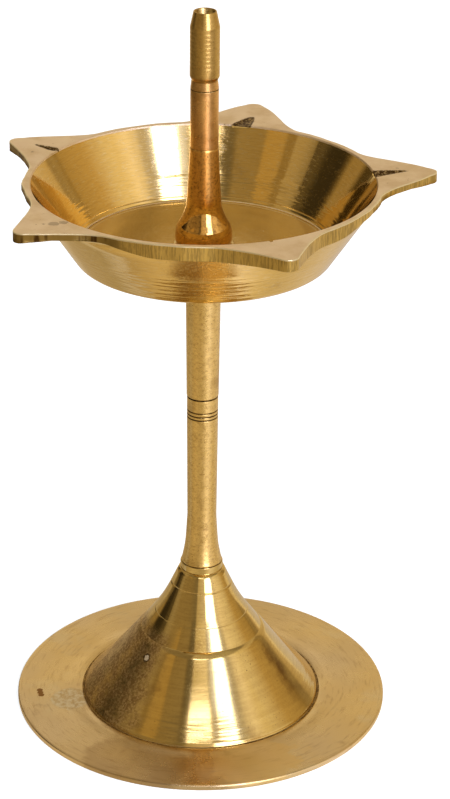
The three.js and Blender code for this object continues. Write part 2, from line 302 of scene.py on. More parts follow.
def noise(tree, scale, detail=2.0, roughness=0.5, vector=None):
    """Noise on the piece's own coordinates, or on another vector."""
    vector = object_point(tree) if vector is None else vector
    return add(tree, "ShaderNodeTexNoise", {"Vector": vector, "Scale": scale, "Detail": detail,
                                            "Roughness": roughness}).outputs["Fac"]


def ramp(tree, value, low, high, out_low=0.0, out_high=1.0):
    """A smooth step from one value to another as the input goes from low to high."""
    edges = {"Value": value, "From Min": low, "From Max": high, "To Min": out_low, "To Max": out_high}
    return add(tree, "ShaderNodeMapRange", edges, interpolation_type="SMOOTHSTEP").outputs[0]


def patches(tree, scale, detail, roughness, *edges):
    """Noise with smooth steps in it: blotches of the noise's scale."""
    return ramp(tree, noise(tree, scale, detail, roughness), *edges)


def blend_colour(tree, share, first, second):
    node = add(tree, "ShaderNodeMix", data_type="RGBA")
    for socket, value in ((node.inputs[0], share), (node.inputs[6], first), (node.inputs[7], second)):
        if isinstance(value, bpy.types.NodeSocket):
            tree.links.new(value, socket)
        else:
            socket.default_value = value
    return node.outputs[2]


def layered(tree, colour, *layers):
    """A colour with others laid over it, each as (mask, strength, colour)."""
    for mask, strength, over in layers:
        colour = blend_colour(tree, mask if strength == 1 else times(tree, mask, strength), colour, over)
    return colour


def plus(tree, value, *parts):
    """A value with masks added to it, each as (mask, amount)."""
    for mask, amount in parts:
        value = math_node(tree, "MULTIPLY_ADD", mask, amount, value)
    return value


def lathe_space(tree):
    """The way round the axis, the radius and the height of a point on the piece, in metres."""
    part = split(tree, object_point(tree))
    level = join(tree, part["X"], part["Y"])
    return vector_node(tree, "NORMALIZE", level), vector_node(tree, "LENGTH", level), part["Z"]


def ring_noise(tree, spacing, around, seed=0.0, detail=2.0):
    """Noise drawn out into rings: it changes over `spacing` across the rings, and slowly round them."""
    way, radius, height = lathe_space(tree)
    across = math_node(tree, "MULTIPLY_ADD", height, RING_LEAN, radius)
    across = math_node(tree, "MULTIPLY_ADD", across, 1.0 / spacing, seed)
    level = split(tree, stretch(tree, way, around))
    return noise(tree, 1.0, detail, vector=join(tree, level["X"], level["Y"], across))


def turning_direction(tree):
    """The way the tool ran: round the axis, so that highlights spread across its rings."""
    tangent = vector_node(tree, "CROSS_PRODUCT", (0.0, 0.0, 1.0), lathe_space(tree)[0])
    return add(tree, "ShaderNodeVectorTransform", {0: tangent}, vector_type="VECTOR",
               convert_from="OBJECT", convert_to="WORLD").outputs[0]


def finish_metal(tree, colour, rough, height, depth, anisotropy=0.0):
    """Joins colour, roughness and a bump of the given depth in metres into one metal surface."""
    bump = add(tree, "ShaderNodeBump", {"Height": height, "Strength": 1.0, "Distance": depth}).outputs[0]
    inputs = {"Base Color": colour, "Metallic": 1.0, "Roughness": rough, "Normal": bump,
              "Anisotropic": anisotropy}
    if anisotropy:
        inputs["Anisotropic Rotation"] = 0.25
        inputs["Tangent"] = turning_direction(tree)
    shader = add(tree, "ShaderNodeBsdfPrincipled", inputs)
    add(tree, "ShaderNodeOutputMaterial", {"Surface": shader.outputs[0]})


RING_LEAN = 1.37
BUFFED, BROWNED, SPECK = linear("#F4D68C"), linear("#8E6735"), linear("#3E2A1A")
print("shared brass colours:", BUFFED[:3], BROWNED[:3])

# %% [markdown]
# ## Marks in one place
# Wear and painted light aren't the same all round. One mask picks a side of the piece between two heights,
# one a round place, and one the height where the turner took a coarser cut. Noise makes the edges of the
# first two ragged.

# %% Masks for single marks
COARSE_DEPTH = 12.0
MASK_FADE = 0.003


def side_mask(tree, middle, half, low, high, soft=0.35):
    """One on a side of the piece between two heights."""
    way, _, height = lathe_space(tree)
    toward = vector_node(tree, "DOT_PRODUCT", way, (math.cos(middle), math.sin(middle), 0.0))
    ragged = plus(tree, toward, (noise(tree, 260.0, 5.0, 0.65), soft))
    edge = math.cos(half) + soft / 2
    inside = ramp(tree, ragged, edge - soft / 4, edge + soft / 4)
    below = ramp(tree, height, high - MASK_FADE, high, 1.0, 0.0)
    return times(tree, inside, times(tree, below, ramp(tree, height, 0.0, low)))


def spot(tree, place, size, ragged=0.6):
    """One near a point of the piece."""
    share = math_node(tree, "DIVIDE", vector_node(tree, "DISTANCE", object_point(tree), place), size)
    share = plus(tree, share, (noise(tree, 1.6 / size, 4.0, 0.65), ragged))
    return ramp(tree, share, 0.9 + ragged / 2, 1.1 + ragged / 2, 1.0, 0.0)


def coarse_rings(tree, spacing, low, high, share=1.0):
    """Deeper tool marks: full below one height in millimetres, and gone above the other."""
    near = ramp(tree, lathe_space(tree)[2], low * MM, high * MM, COARSE_DEPTH * share, 0.0)
    return times(tree, ring_noise(tree, spacing, 2.0, seed=21.0, detail=1.0), near)


print("masks fade over", MASK_FADE / MM, "mm, coarse rings are", COARSE_DEPTH, "times as deep")


# %% [markdown]
# ## Turned yellow brass
# Cone and stem are cast, then turned and buffed. The eye sees soft rings, a warm yellow, and darker brown
# blooms where fingers and lamp oil left the brass dull. The rings are about 0.3 mm apart. The real ones are
# finer, but they are drawn as coarse as they need to be to show. The stem was only smoothed. The cone is
# buffed like a mirror, with deeper rings just above its foot. On its left side it has one large brown stain
# full of small bright and dark specks, which also paints shade onto that side, one dark streak that is a
# painted reflection of a dark post, and a bright chip.

# %% Turned yellow brass
CONE_BASE, CHIP = linear("#E6CD88"), linear("#FBF6EA")
DARK_STAIN_AND_SHADE, LIGHT_STAIN_AND_SHADE = linear("#7E5A3C"), linear("#DCC298")
# The stain's side: a brown stain with specks, and painted shade on the cone's left.
STAIN_AND_SHADE_SIDE = (math.radians(-170), math.radians(38), 0.002, 0.024)
# A painted reflection: a narrow dark streak where the dark post would show.
PAINTED_STREAK_SIDE = (math.radians(-29), math.radians(4), 0.0120, 0.0195, 0.03)
CHIP_PLACE, CHIP_SIZE, CHIP_RING = (-0.0150, -0.0107, 0.0166), 0.0007, 0.0012
CONE_COARSE = (0.00035, 5.0, 8.0)


def cone_marks(tree, colour, rough, rings):
    """Colour, roughness and rings of the cone: stain with painted shade, painted streak, chip, deeper rings.
    """
    grain = noise(tree, 1400.0, 3.0, 0.7)
    # The stain covers the left side: brown with specks, and painted shade there.
    cover = times(tree, side_mask(tree, *STAIN_AND_SHADE_SIDE), patches(tree, 330.0, 4.0, 0.7, 0.3, 0.6, 0.35, 0.72))
    stain_and_shade_colour = blend_colour(tree, ramp(tree, grain, 0.42, 0.64), DARK_STAIN_AND_SHADE, LIGHT_STAIN_AND_SHADE)
    chip = spot(tree, CHIP_PLACE, CHIP_SIZE, 2.0)
    # The streak is a painted reflection of a dark post.
    colour = layered(tree, colour, (cover, 1, stain_and_shade_colour), (side_mask(tree, *PAINTED_STREAK_SIDE), 0.75, DARK_STAIN_AND_SHADE),
                     (spot(tree, CHIP_PLACE, CHIP_RING, 2.0), 0.7, SPECK), (chip, 1, CHIP))
    rough = plus(tree, rough, (cover, 0.42), (chip, 0.4))
    rings = plus(tree, rings, (times(tree, grain, cover), 2.0), (coarse_rings(tree, *CONE_COARSE), 1.0))
    return colour, rough, rings


def turned_brass(name, base=BUFFED, smooth=(0.24, 0.34), blooms=0.62, depth=0.000008, grain=0.3,
                 marks=None, satin_above=None):
    """Turned brass; blooms is where its dull places begin in their noise, grain how strong its dust is."""
    material, tree = new_material(name)
    rings = ring_noise(tree, 0.00032, 3.0, seed=2.0, detail=3.0)
    bloom = patches(tree, 95.0, 4.0, 0.62, blooms - 0.08, blooms + 0.1)
    speck = times(tree, patches(tree, 1500.0, 2.0, 0.6, 0.66, 0.74),
                  patches(tree, 140.0, 2.0, 0.5, 0.5, 0.62))
    colour = layered(tree, base, (bloom, 0.4, BROWNED), (ramp(tree, rings, 0.35, 0.65), 0.14, BROWNED),
                     (patches(tree, 1400.0, 3.0, 0.75, 0.45, 0.7), grain, BROWNED), (speck, 0.8, SPECK))
    rough = ramp(tree, ring_noise(tree, 0.0024, 1.2, seed=8.0), 0.3, 0.7, *smooth)
    rough = plus(tree, rough, (bloom, 0.06))
    if marks:
        colour, rough, rings = marks(tree, colour, rough, rings)
    if satin_above:
        low, high = (edge * MM for edge in satin_above)
        rough = math_node(tree, "MAXIMUM", rough, ramp(tree, lathe_space(tree)[2], low, high, 0.0, 0.3))
    finish_metal(tree, colour, rough, rings, depth, anisotropy=0.6)
    return material


yellow_brass = turned_brass("turned_yellow_brass", grain=0.42)
cone_brass = turned_brass("mirror_turned_brass", CONE_BASE, (0.09, 0.13), 0.68, 0.000005, 0.12, cone_marks)
print("made", yellow_brass.name, cone_brass.name)

# %% [markdown]
# ## Satin plate brass
# The foot plate was turned flat and rubbed with fine grit, which scatters light: paler, less yellow, with a
# thin white film of old polish in patches, one patch of dried polish, a painted dark reflection and a painted
# bright reflection near the front edge, and one small brown spot.

# %% Satin plate brass
SATIN, FILM = linear("#E6D2AE"), linear("#E8E0C8")
POWDER_DARK, POWDER_LIGHT = linear("#BDAA80"), linear("#EEF2ED")
DRIED_PATCH = ((-0.0345, -0.0045, 0.0015), 0.0052)
# Painted reflections near the front edge: a darker one, then a brighter one.
PAINTED_DARK_REFLECTION = ((-0.0200, -0.0370, 0.0015), 0.0130)
PAINTED_BRIGHT_REFLECTION = ((0.0110, -0.0392, 0.0015), 0.0110, 2.0)
BROWN_SPOTS = ((-0.0424, 0.0004), (-0.0423, -0.0008), (-0.0421, -0.0020))
SPOT_PATCHES = [((x, y, 0.0015), 0.0008) for x, y in BROWN_SPOTS]


def satin_plate_brass():
    material, tree = new_material("satin_plate_brass")
    streaks = ramp(tree, ring_noise(tree, 0.0007, 9.0, seed=6.0, detail=3.0), 0.5, 0.75)
    dried, pale = spot(tree, *DRIED_PATCH), times(tree, spot(tree, *PAINTED_BRIGHT_REFLECTION), 0.5)
    powder = blend_colour(tree, patches(tree, 700.0, 3.0, 0.7, 0.4, 0.6), POWDER_DARK, POWDER_LIGHT)
    # Near the front edge, a painted dark reflection and a painted bright reflection (pale).
    colour = layered(tree, SATIN,
                     (patches(tree, 30.0, 2.0, 0.5, 0.35, 0.65), 0.6, BUFFED),
                     (patches(tree, 60.0, 5.0, 0.6, 0.5, 0.7), 0.35, FILM),
                     (patches(tree, 110.0, 5.0, 0.66, 0.58, 0.74), 0.35, BROWNED),
                     (streaks, 0.25, BROWNED), (dried, 0.42, powder),
                     (spot(tree, *PAINTED_DARK_REFLECTION), 0.35, BROWNED), (pale, 1, BUFFED),
                     *[(spot(tree, *patch), 1, BROWNED) for patch in SPOT_PATCHES])
    rough = plus(tree, patches(tree, 80.0, 4.0, 0.6, 0.35, 0.7, 0.22, 0.36), (dried, 0.12), (pale, 0.25))
    rings = ring_noise(tree, 0.0004, 2.0, seed=5.0, detail=3.0)
    finish_metal(tree, colour, rough, rings, 0.000006, anisotropy=0.5)
    return material


plate_brass = satin_plate_brass()
print("made", plate_brass.name)

# %% [markdown]
# ## Cast brass, cut threads and grooves
# Nobody polishes the hollow of the cone: it keeps the grain of the moulding sand and a brown skin. Threads
# are cut with a die and never polished, so they are a little darker and hold some old oil. The turned
# grooves and the joints are painted dark brown, partly as the oil they hold and partly as painted shade in
# the recess: it is what makes them read as thin dark lines. The foot's wide groove is wiped more often, so
# its oil and its painted shade are lighter.

# %% Cast, thread and groove brass
def cast_brass():
    material, tree = new_material("sand_cast_brass")
    grain = noise(tree, 1100.0, 4.0, 0.65)
    skin = patches(tree, 90.0, 4.0, 0.6, 0.35, 0.7)
    colour = blend_colour(tree, skin, linear("#B59C65"), linear("#715532"))
    finish_metal(tree, colour, ramp(tree, grain, 0.3, 0.7, 0.45, 0.65), grain, 0.00012)
    return material


def thread_brass():
    material, tree = new_material("die_cut_thread_brass")
    oil = patches(tree, 500.0, 4.0, 0.6, 0.4, 0.7)
    colour = blend_colour(tree, oil, linear("#D8C388"), linear("#7E6137"))
    rough = patches(tree, 900.0, 3.0, 0.5, 0.3, 0.7, 0.28, 0.42)
    finish_metal(tree, colour, rough, noise(tree, 2600.0), 0.00002)
    return material


# Dark brown for grooves and joints: part old oil, part painted shade in the recess.
def groove_grime_and_shade(name, dark, light):
    material, tree = new_material(name)
    patch = noise(tree, 700.0, 3.0, 0.6)
    colour = blend_colour(tree, ramp(tree, patch, 0.42, 0.66), linear(dark), linear(light))
    finish_metal(tree, colour, ramp(tree, patch, 0.3, 0.7, 0.4, 0.55), patch, 0.00002)
    return material


sand_brass, cut_brass = cast_brass(), thread_brass()
grime_and_shade = groove_grime_and_shade("grime_and_shade_in_turned_grooves", "#4C381F", "#8E723A")
foot_oil_and_shade = groove_grime_and_shade("oil_and_shade_in_foot_groove", "#7A5E34", "#BFA164")
print("made", [m.name for m in (sand_brass, cut_brass, grime_and_shade, foot_oil_and_shade)])

# %% [markdown]
# ## Bowl, rim and ears
# The dish shows four ways of working brass. The bowl is turned, with deeper rings near its floor, and the
# floor is smoothed. The rim's top is rubbed flat on grit, pale and almost without gloss. Its edge was cut
# with a file, which leaves upright bars of light and dark. The wick grooves are chased into the flat top
# and have gone dark with soot: the mesh says where, by a value on its points.

# %% Bowl brass
# The near-white dashes are painted glints along the rings.
GLINT_WHITE, FLOOR_BASE = linear("#F9F8E5"), linear("#EAD4A0")
BOWL_COARSE = (0.0014, bowl_floor + 4.5, bowl_floor + 7, 2.0)


def bowl_brass(name, base, smooth, glints, coarse=None):
    """Mirror-turned brass with short painted glints along its rings, and deeper rings where coarse says."""
    material, tree = new_material(name)
    rings = ring_noise(tree, 0.0005, 14.0, seed=3.0, detail=3.0)
    # Painted glints: short near-white dashes along the rings.
    glint = ramp(tree, ring_noise(tree, 0.00036, 24.0, seed=15.0, detail=1.0), 0.58, 0.66, 0.0, glints)
    colour = layered(tree, base, (patches(tree, 70.0, 4.0, 0.6, 0.58, 0.75), 0.25, BROWNED),
                     (ramp(tree, rings, 0.4, 0.68), 0.12, BROWNED), (glint, 1, GLINT_WHITE),
                     (patches(tree, 900.0, 2.0, 0.6, 0.75, 0.8), 0.6, SPECK))
    rough = ramp(tree, ring_noise(tree, 0.003, 1.6, seed=1.0), 0.3, 0.7, *smooth)
    rough = plus(tree, rough, (glint, 0.3), (patches(tree, 1500.0, 2.0, 0.7, 0.52, 0.66), 0.1))
    height = plus(tree, rings, (ring_noise(tree, 0.00022, 30.0, seed=9.0), 0.5))
    if coarse:
        height = plus(tree, height, (coarse_rings(tree, *coarse), 1.0))
    finish_metal(tree, colour, rough, height, 0.0000035, anisotropy=0.75)
    return material


bowl_metal = bowl_brass("turned_bowl_brass", BUFFED, (0.04, 0.07), 0.22, BOWL_COARSE)
floor_metal = bowl_brass("smoothed_floor_brass", FLOOR_BASE, (0.1, 0.15), 0.1)
print("made", bowl_metal.name, floor_metal.name)

# %% [markdown]
# ## Flat top and filed edge
# Grit and files leave straight scratches, which are noise drawn out along one direction. The left side of
# the edge is painted darker as shade, and a thin painted highlight runs along the top of the edge.

# %% Rim finishes
FLAT_TOP, WARM_TOP, BAR_DARK = linear("#FAEAD4"), linear("#D1B57D"), linear("#523C1D")
SOOT, SOOT_LIGHT = linear("#574227"), linear("#B9A175")
# A thin painted highlight along the top of the filed edge, 0.36 mm high.
EDGE_BASE, EDGE_HIGHLIGHT, EDGE_HIGHLIGHT_BAND = linear("#D9BC6E"), linear("#F7EFD2"), 0.36
# The left side of the filed edge is painted darker, as shade.
SHADED_EDGE_SIDE = (math.radians(188), math.radians(52), 0.001, 1.0)
TOP_MARKS = (((0.0478, 0.0053, 0.1435), 0.0008), ((0.0500, -0.0022, 0.1435), 0.0004),
             ((-0.0405, 0.0232, 0.1435), 0.0008), ((-0.0395, -0.0262, 0.1435), 0.0008),
             ((-0.0372, -0.0262, 0.1435), 0.0014), ((-0.0348, -0.0256, 0.1435), 0.0013))


def drawn_out(tree, scale, turn=0.0, detail=3.0, roughness=0.6):
    """Noise drawn out along one direction."""
    place = {"Vector": object_point(tree), "Rotation": (0, 0, turn), "Scale": scale}
    return noise(tree, 1.0, detail, roughness, add(tree, "ShaderNodeMapping", place).outputs[0])


def flat_top_brass():
    material, tree = new_material("grit_rubbed_brass")
    scratch = plus(tree, drawn_out(tree, (2600, 180, 180), 0.6),
                   (drawn_out(tree, (150, 2100, 150), -0.5), 1.0))
    pits = times(tree, patches(tree, 700.0, 3.0, 0.6, 0.66, 0.73), patches(tree, 90.0, 2.0, 0.5, 0.5, 0.6))
    grains = noise(tree, 1500.0, 2.0, 0.7)
    groove = add(tree, "ShaderNodeAttribute", attribute_name="groove").outputs["Fac"]
    groove = ramp(tree, plus(tree, groove, (math_node(tree, "SUBTRACT", grains, 0.5), 0.9)), -0.08, 0.12)
    soot = blend_colour(tree, ramp(tree, grains, 0.48, 0.62), SOOT, SOOT_LIGHT)
    colour = layered(tree, FLAT_TOP,
                     (patches(tree, 120.0, 4.0, 0.6, 0.4, 0.68), 0.4, WARM_TOP), (pits, 1, BROWNED),
                     *[(spot(tree, place, size, 1.2), 0.4, BAR_DARK) for place, size in TOP_MARKS],
                     (groove, 1, soot))
    height = plus(tree, scratch, (times(tree, groove, grains), 2.5))
    finish_metal(tree, colour, patches(tree, 260.0, 4.0, 0.5, 0.3, 0.7, 0.38, 0.5), height, 0.00001)
    return material


def filed_edge_brass():
    material, tree = new_material("filed_edge_brass")
    bars = drawn_out(tree, (2600, 2600, 260), roughness=0.65)
    wide = ramp(tree, drawn_out(tree, (420, 420, 60), detail=2.0), 0.5, 0.66)
    dark = ramp(tree, bars, 0.4, 0.62, 0.0, 0.45)
    broad = times(tree, wide, patches(tree, 75.0, 2.0, 0.5, 0.42, 0.62, 0.1, 0.5))
    dark = math_node(tree, "MAXIMUM", dark, broad)
    # Painted shade: the left side of the edge is darker.
    side = times(tree, side_mask(tree, *SHADED_EDGE_SIDE), ramp(tree, wide, 0.0, 1.0, 0.65, 1.0))
    dark = math_node(tree, "MAXIMUM", dark, side)
    # Painted highlight along the top of the edge.
    top_highlight = ramp(tree, lathe_space(tree)[2], (rim_top - EDGE_HIGHLIGHT_BAND) * MM, (rim_top - EDGE_HIGHLIGHT_BAND / 2) * MM)
    colour = layered(tree, EDGE_BASE, (dark, 1, BAR_DARK), (top_highlight, 1, EDGE_HIGHLIGHT))
    finish_metal(tree, colour, ramp(tree, bars, 0.3, 0.7, 0.28, 0.44), bars, 0.00004)
    return material


top_metal, edge_metal = flat_top_brass(), filed_edge_brass()
print("made", top_metal.name, edge_metal.name)

# %% [markdown]
# ## Red finial brass
# The finial was turned from another bar with more copper in it, and stands in the middle of the yellow
# bowl, so it looks like dark honey. Its bell is buffed like a mirror at the foot and turns satin above.

# %% Red finial brass
RED_BASE, BELL_BASE, TIP_BASE = linear("#E8BD7D"), linear("#E9BA6A"), linear("#D1B26C")
BELL_SATIN = (washer_top + 8.5, washer_top + 13.5)
red_brass = turned_brass("turned_red_brass", RED_BASE, (0.26, 0.36), 0.6)
bell_brass = turned_brass("mirror_turned_red_brass", BELL_BASE, (0.05, 0.08), 0.6, 0.000003, 0.75,
                          satin_above=BELL_SATIN)
tip_brass = turned_brass("turned_tip_brass", TIP_BASE, (0.26, 0.36), 0.6)
print("made", red_brass.name, bell_brass.name, tip_brass.name)

# %% [markdown]
# ## Turning a piece
# A piece is its profile as a line of points, with the lathe tree on it. The tree's result is taken as a
# plain mesh, and the modifier goes. Faces get their finish from the row that they lie in.

# %% Turn a profile into a mesh
INPUT_IDS = {item.name: item.identifier for item in lathe.interface.items_tree if item.in_out == "INPUT"}
OUTLINE_STEPS = 720


def place_object(name, data):
    placed = bpy.data.objects.new(name, data)
    bpy.context.scene.collection.objects.link(placed)
    return placed


def closed_line(name, points):
    """A closed curve object through points in millimetres."""
    data = bpy.data.curves.new(name, "CURVE")
    data.dimensions = "3D"
    spline = data.splines.new("POLY")
    spline.points.add(len(points) - 1)
    for point, (x, y) in zip(spline.points, points):
        point.co = (x * MM, y * MM, 0, 1)
    spline.use_cyclic_u = True
    return place_object(name, data)


def profile_mesh(name, rows):
    mesh = bpy.data.meshes.new(name + "_profile")
    mesh.vertices.add(len(rows))
    table = np.array(rows)
    groups = {"place": table[:, :2] * MM, "follow": table[:, [REACH, LIFT]],
              "mark": table[:, [THREAD, FINISH]]}
    for key, pairs in groups.items():
        values = np.zeros((len(rows), 3), np.float32)
        values[:, :2] = pairs
        mesh.attributes.new(key, "FLOAT_VECTOR", "POINT").data.foreach_set("vector", values.ravel())
    return mesh


def read(items, key, width=1, kind=np.float32):
    """One property of all points, corners or faces of a mesh, as an array."""
    values = np.zeros(len(items) * width, kind)
    items.foreach_get(key, values)
    return values.reshape(-1, width) if width > 1 else values


def face_most(mesh, values):
    """The largest value that the points of each face have."""
    corners = read(mesh.loops, "vertex_index", kind=np.int32)
    starts = read(mesh.polygons, "loop_start", kind=np.int32)
    return np.maximum.reduceat(values[corners], starts)


def signed_volume(mesh):
    mesh.calc_loop_triangles()
    points = read(mesh.vertices, "co", 3).astype(float)
    corners = read(mesh.loop_triangles, "vertices", 3, np.int32)
    a, b, c = (points[corners[:, k]] for k in range(3))
    return float((a * np.cross(b, c)).sum() / 6)


def turn_piece(name, corners, metals, columns=128, outline=None, rim_radius=0.0, pitch=0.8, depth=0.35):
    rows = refined(rounded(corners))
    piece = place_object(name, profile_mesh(name, rows))
    modifier = piece.modifiers.new("lathe", "NODES")
    modifier.node_group = lathe
    values = {"Outline": outline or round_line, "Columns": columns, "Rim Radius": rim_radius * MM,
              "Thread Pitch": pitch * MM, "Thread Depth": depth * MM, "Metal": metals[0]}
    for key, value in values.items():
        modifier[INPUT_IDS[key]] = value
    graph = bpy.context.evaluated_depsgraph_get()
    mesh = bpy.data.meshes.new_from_object(piece.evaluated_get(graph), depsgraph=graph)
    piece.modifiers.remove(modifier)
    piece.data = mesh
    mesh.name = name
    if signed_volume(mesh) < 0:
        mesh.flip_normals()
    mesh.materials.clear()
    for metal in metals:
        mesh.materials.append(metal)
    finish = np.rint(face_most(mesh, read(mesh.attributes["finish"].data, "value")))
    mesh.polygons.foreach_set("material_index", finish.astype(np.int32))
    mesh.attributes.remove(mesh.attributes["finish"])
    print(f"{name}: {len(rows)} rows, {len(mesh.polygons)} faces, {signed_volume(mesh) * 1e9:.0f} mm3")
    return piece


steps_round = [2 * math.pi * i / OUTLINE_STEPS for i in range(OUTLINE_STEPS)]
round_line = closed_line("round_outline", [(math.cos(angle), math.sin(angle)) for angle in steps_round])

# %% [markdown]
# ## The foot
# Plate and cone are one hollow casting, turned on top. The plate is thin with rounded edges. Where the
# cone meets it there is a bright lip, a narrow groove and a soft raised ring. The cone curves in like a
# trumpet bell, with a small step and two turned lines, and ends in a short neck.

# %% Foot
PLATE_TOP, PLATE_START = 1.5, 38
CONE_FOOT, CONE_LIP, CONE_STEP, RING_GAP = 30.6, 0.9, 0.2, 0.7
FOOT_RING = ((4.0, 0.0, 1.4), (1.7, 0.22, 1.2), (0.2, 0.12, 0.3))
FOOT_GROOVE = (0.42, 0.15, 0.06)
CONE_WAIST = (15.5, PLATE_TOP + 18.7)
CONE_SHOULDER = (10.2, PLATE_TOP + 26.5)
CONE_TOP = (5.75, PLATE_TOP + 35.8)
TURNED_LINES = ((25.2, 0.3, 0.06), (32.9, 0.5, 0.14))
NECK_RADIUS, FOOT_SOCKET = 5.45, 2.7
HOLLOW_TOP, FOOT_WALL = (7.4, 25.0), 2.3
CAST = THREADED


def foot_profile():
    lip_top, lip_radius = PLATE_TOP + CONE_LIP, CONE_FOOT - CONE_LIP / 2
    middle = ((lip_radius + CONE_WAIST[0]) / 2 - CONE_STEP, (lip_top + CONE_WAIST[1]) / 2)
    side = curve([(lip_radius, lip_top), middle, (CONE_WAIST[0] + CONE_STEP, CONE_WAIST[1])], steps=6)
    crown = curve([CONE_WAIST, CONE_SHOULDER, CONE_TOP], steps=8)
    for height, width, depth in TURNED_LINES:
        crown = grooved(crown, height, width, depth, POLISHED)
    ring, (inward, down, groove_soft) = CONE_FOOT + RING_GAP, FOOT_GROOVE
    return [
        *run((PLATE_START, 0), (plate_radius, 0, 0.4), (plate_radius, PLATE_TOP, 0.5),
             *[(ring + outward, PLATE_TOP + up, soft) for outward, up, soft in FOOT_RING],
             finish=SATIN_ZONE),
        corner(ring - inward, PLATE_TOP - down, groove_soft, finish=GRIME_AND_SHADE),
        *run((CONE_FOOT, PLATE_TOP, 0.1), (lip_radius + 0.25, lip_top - 0.25, 0.35)),
        *side[1:],
        corner(CONE_WAIST[0], CONE_WAIST[1] + 0.05, 0.04),
        *crown[1:],
        *run((NECK_RADIUS, CONE_TOP[1], 0.08), (NECK_RADIUS, foot_top, 0.2)),
        *run((FOOT_SOCKET, foot_top, 0.1), (FOOT_SOCKET, HOLLOW_TOP[1], 0.1), (*HOLLOW_TOP, 0.8),
             (CONE_FOOT - FOOT_WALL, 0, 0.4), finish=CAST),
        corner(PLATE_START, 0, finish=SATIN_ZONE),
    ]


foot_metals = [cone_brass, sand_brass, foot_oil_and_shade, plate_brass]
foot = turn_piece("turned_foot", foot_profile(), foot_metals, columns=288)

# %% [markdown]
# ## The stem
# Two rods screw into each other. The lower one stands on a flared foot and ends in a band with three cut
# rings. The upper one is a little thicker and passes through the dish. The spigots carry metric threads
# (M5 and M4), cut finer here than in the solid model, where they only mark the place.

# %% Stem
M5_PITCH, M4_PITCH, THREAD_CUT, THREAD_END = 0.8, 0.7, 0.38, 0.6
STEM_FOOT, STEM_WAIST, STEM_FLARE = 5.25, 3.72, 13.2
FLARE_SHAPE = ((0.3, 0.15), (0.7, 0.45), (1.0, 1.0))
BAND_RADIUS, BAND_HEIGHT = 3.92, 6.1
RING_HEIGHTS, RING_WIDTH, RING_DEPTH = (0.55, 1.45, 2.45), 0.42, 0.25
STEM_SPIGOT, FOOT_SPIGOT = 2.0, 2.4
CLEARANCE, END_ROOM, STEM_SOCKET = 0.3, 1.0, 9
UPPER_BOTTOM, UPPER_TOP = 4.02, 4.42
JOINT_BEVEL, FOOT_BEVEL = 0.26, 0.18


def spigot(radius, end, shoulder):
    """Corners of a threaded spigot, from its free end on the axis to its shoulder."""
    way = 1 if shoulder > end else -1
    start, stop = end + way * THREAD_END, shoulder - way * THREAD_END
    core = radius - THREAD_CUT
    return [
        *run((0, end), (core - 0.1, end, 0.1), finish=THREADED),
        corner(radius, start, finish=THREADED, thread=0.3),
        *run((radius, start + way * 0.5), (radius, stop - way * 0.5), finish=THREADED, thread=1),
        *run((core, stop + way * 0.1), (core, shoulder), finish=THREADED),
    ]


def socket(radius, mouth, bottom):
    return run((radius, mouth, 0.15), (radius, bottom, 0.1), (0, bottom), finish=THREADED)


def lower_stem_profile():
    band = stem_joint - BAND_HEIGHT
    narrowing = STEM_FOOT - STEM_WAIST
    flare = [(STEM_FOOT - share * narrowing, foot_top + rise * STEM_FLARE) for share, rise in FLARE_SHAPE]
    rings = [corner(BAND_RADIUS, band, 0.3), corner(BAND_RADIUS, stem_joint - 0.3)]
    for height in RING_HEIGHTS:
        rings = grooved(rings, band + height, RING_WIDTH, RING_DEPTH)
    return [
        *spigot(FOOT_SPIGOT, bottom_of("lower_stem"), foot_top),
        corner(STEM_FOOT - FOOT_BEVEL, foot_top, finish=GRIME_AND_SHADE),
        *curve([(STEM_FOOT, foot_top + FOOT_BEVEL)] + flare, steps=6),
        *rings,
        corner(BAND_RADIUS, stem_joint - JOINT_BEVEL, 0.08),
        corner(BAND_RADIUS - JOINT_BEVEL, stem_joint, finish=GRIME_AND_SHADE),
        *socket(STEM_SPIGOT + CLEARANCE, stem_joint, stem_joint - STEM_SOCKET),
    ]


def upper_stem_profile():
    return [
        *spigot(STEM_SPIGOT, bottom_of("upper_stem"), stem_joint),
        corner(UPPER_BOTTOM - JOINT_BEVEL, stem_joint, finish=GRIME_AND_SHADE),
        *run((UPPER_BOTTOM, stem_joint + JOINT_BEVEL, 0.08), (UPPER_TOP, dish_under, 0.15)),
        *run((STEM_SPIGOT, dish_under, 0.05), (STEM_SPIGOT, washer_top - 0.3, 0.05), finish=THREADED),
        *spigot(STEM_SPIGOT, top_of("upper_stem"), washer_top)[::-1],
    ]


STEM_METALS = [yellow_brass, cut_brass, grime_and_shade]
lower_rod = turn_piece("turned_lower_stem", lower_stem_profile(), STEM_METALS, pitch=M5_PITCH)
upper_rod = turn_piece("turned_upper_stem", upper_stem_profile(), STEM_METALS, pitch=M4_PITCH)

# %% [markdown]
# ## The rim's outline
# The maker cuts the ears out of a flat rim by eye, so each has its own length and leans its own way, and
# the file leaves the edge a little wavy. The outline is drawn with curves from those few sizes, then
# measured off in even steps, and each step is filed back by a small seeded amount. On the left, a small
# blunt corner was left between two ears.

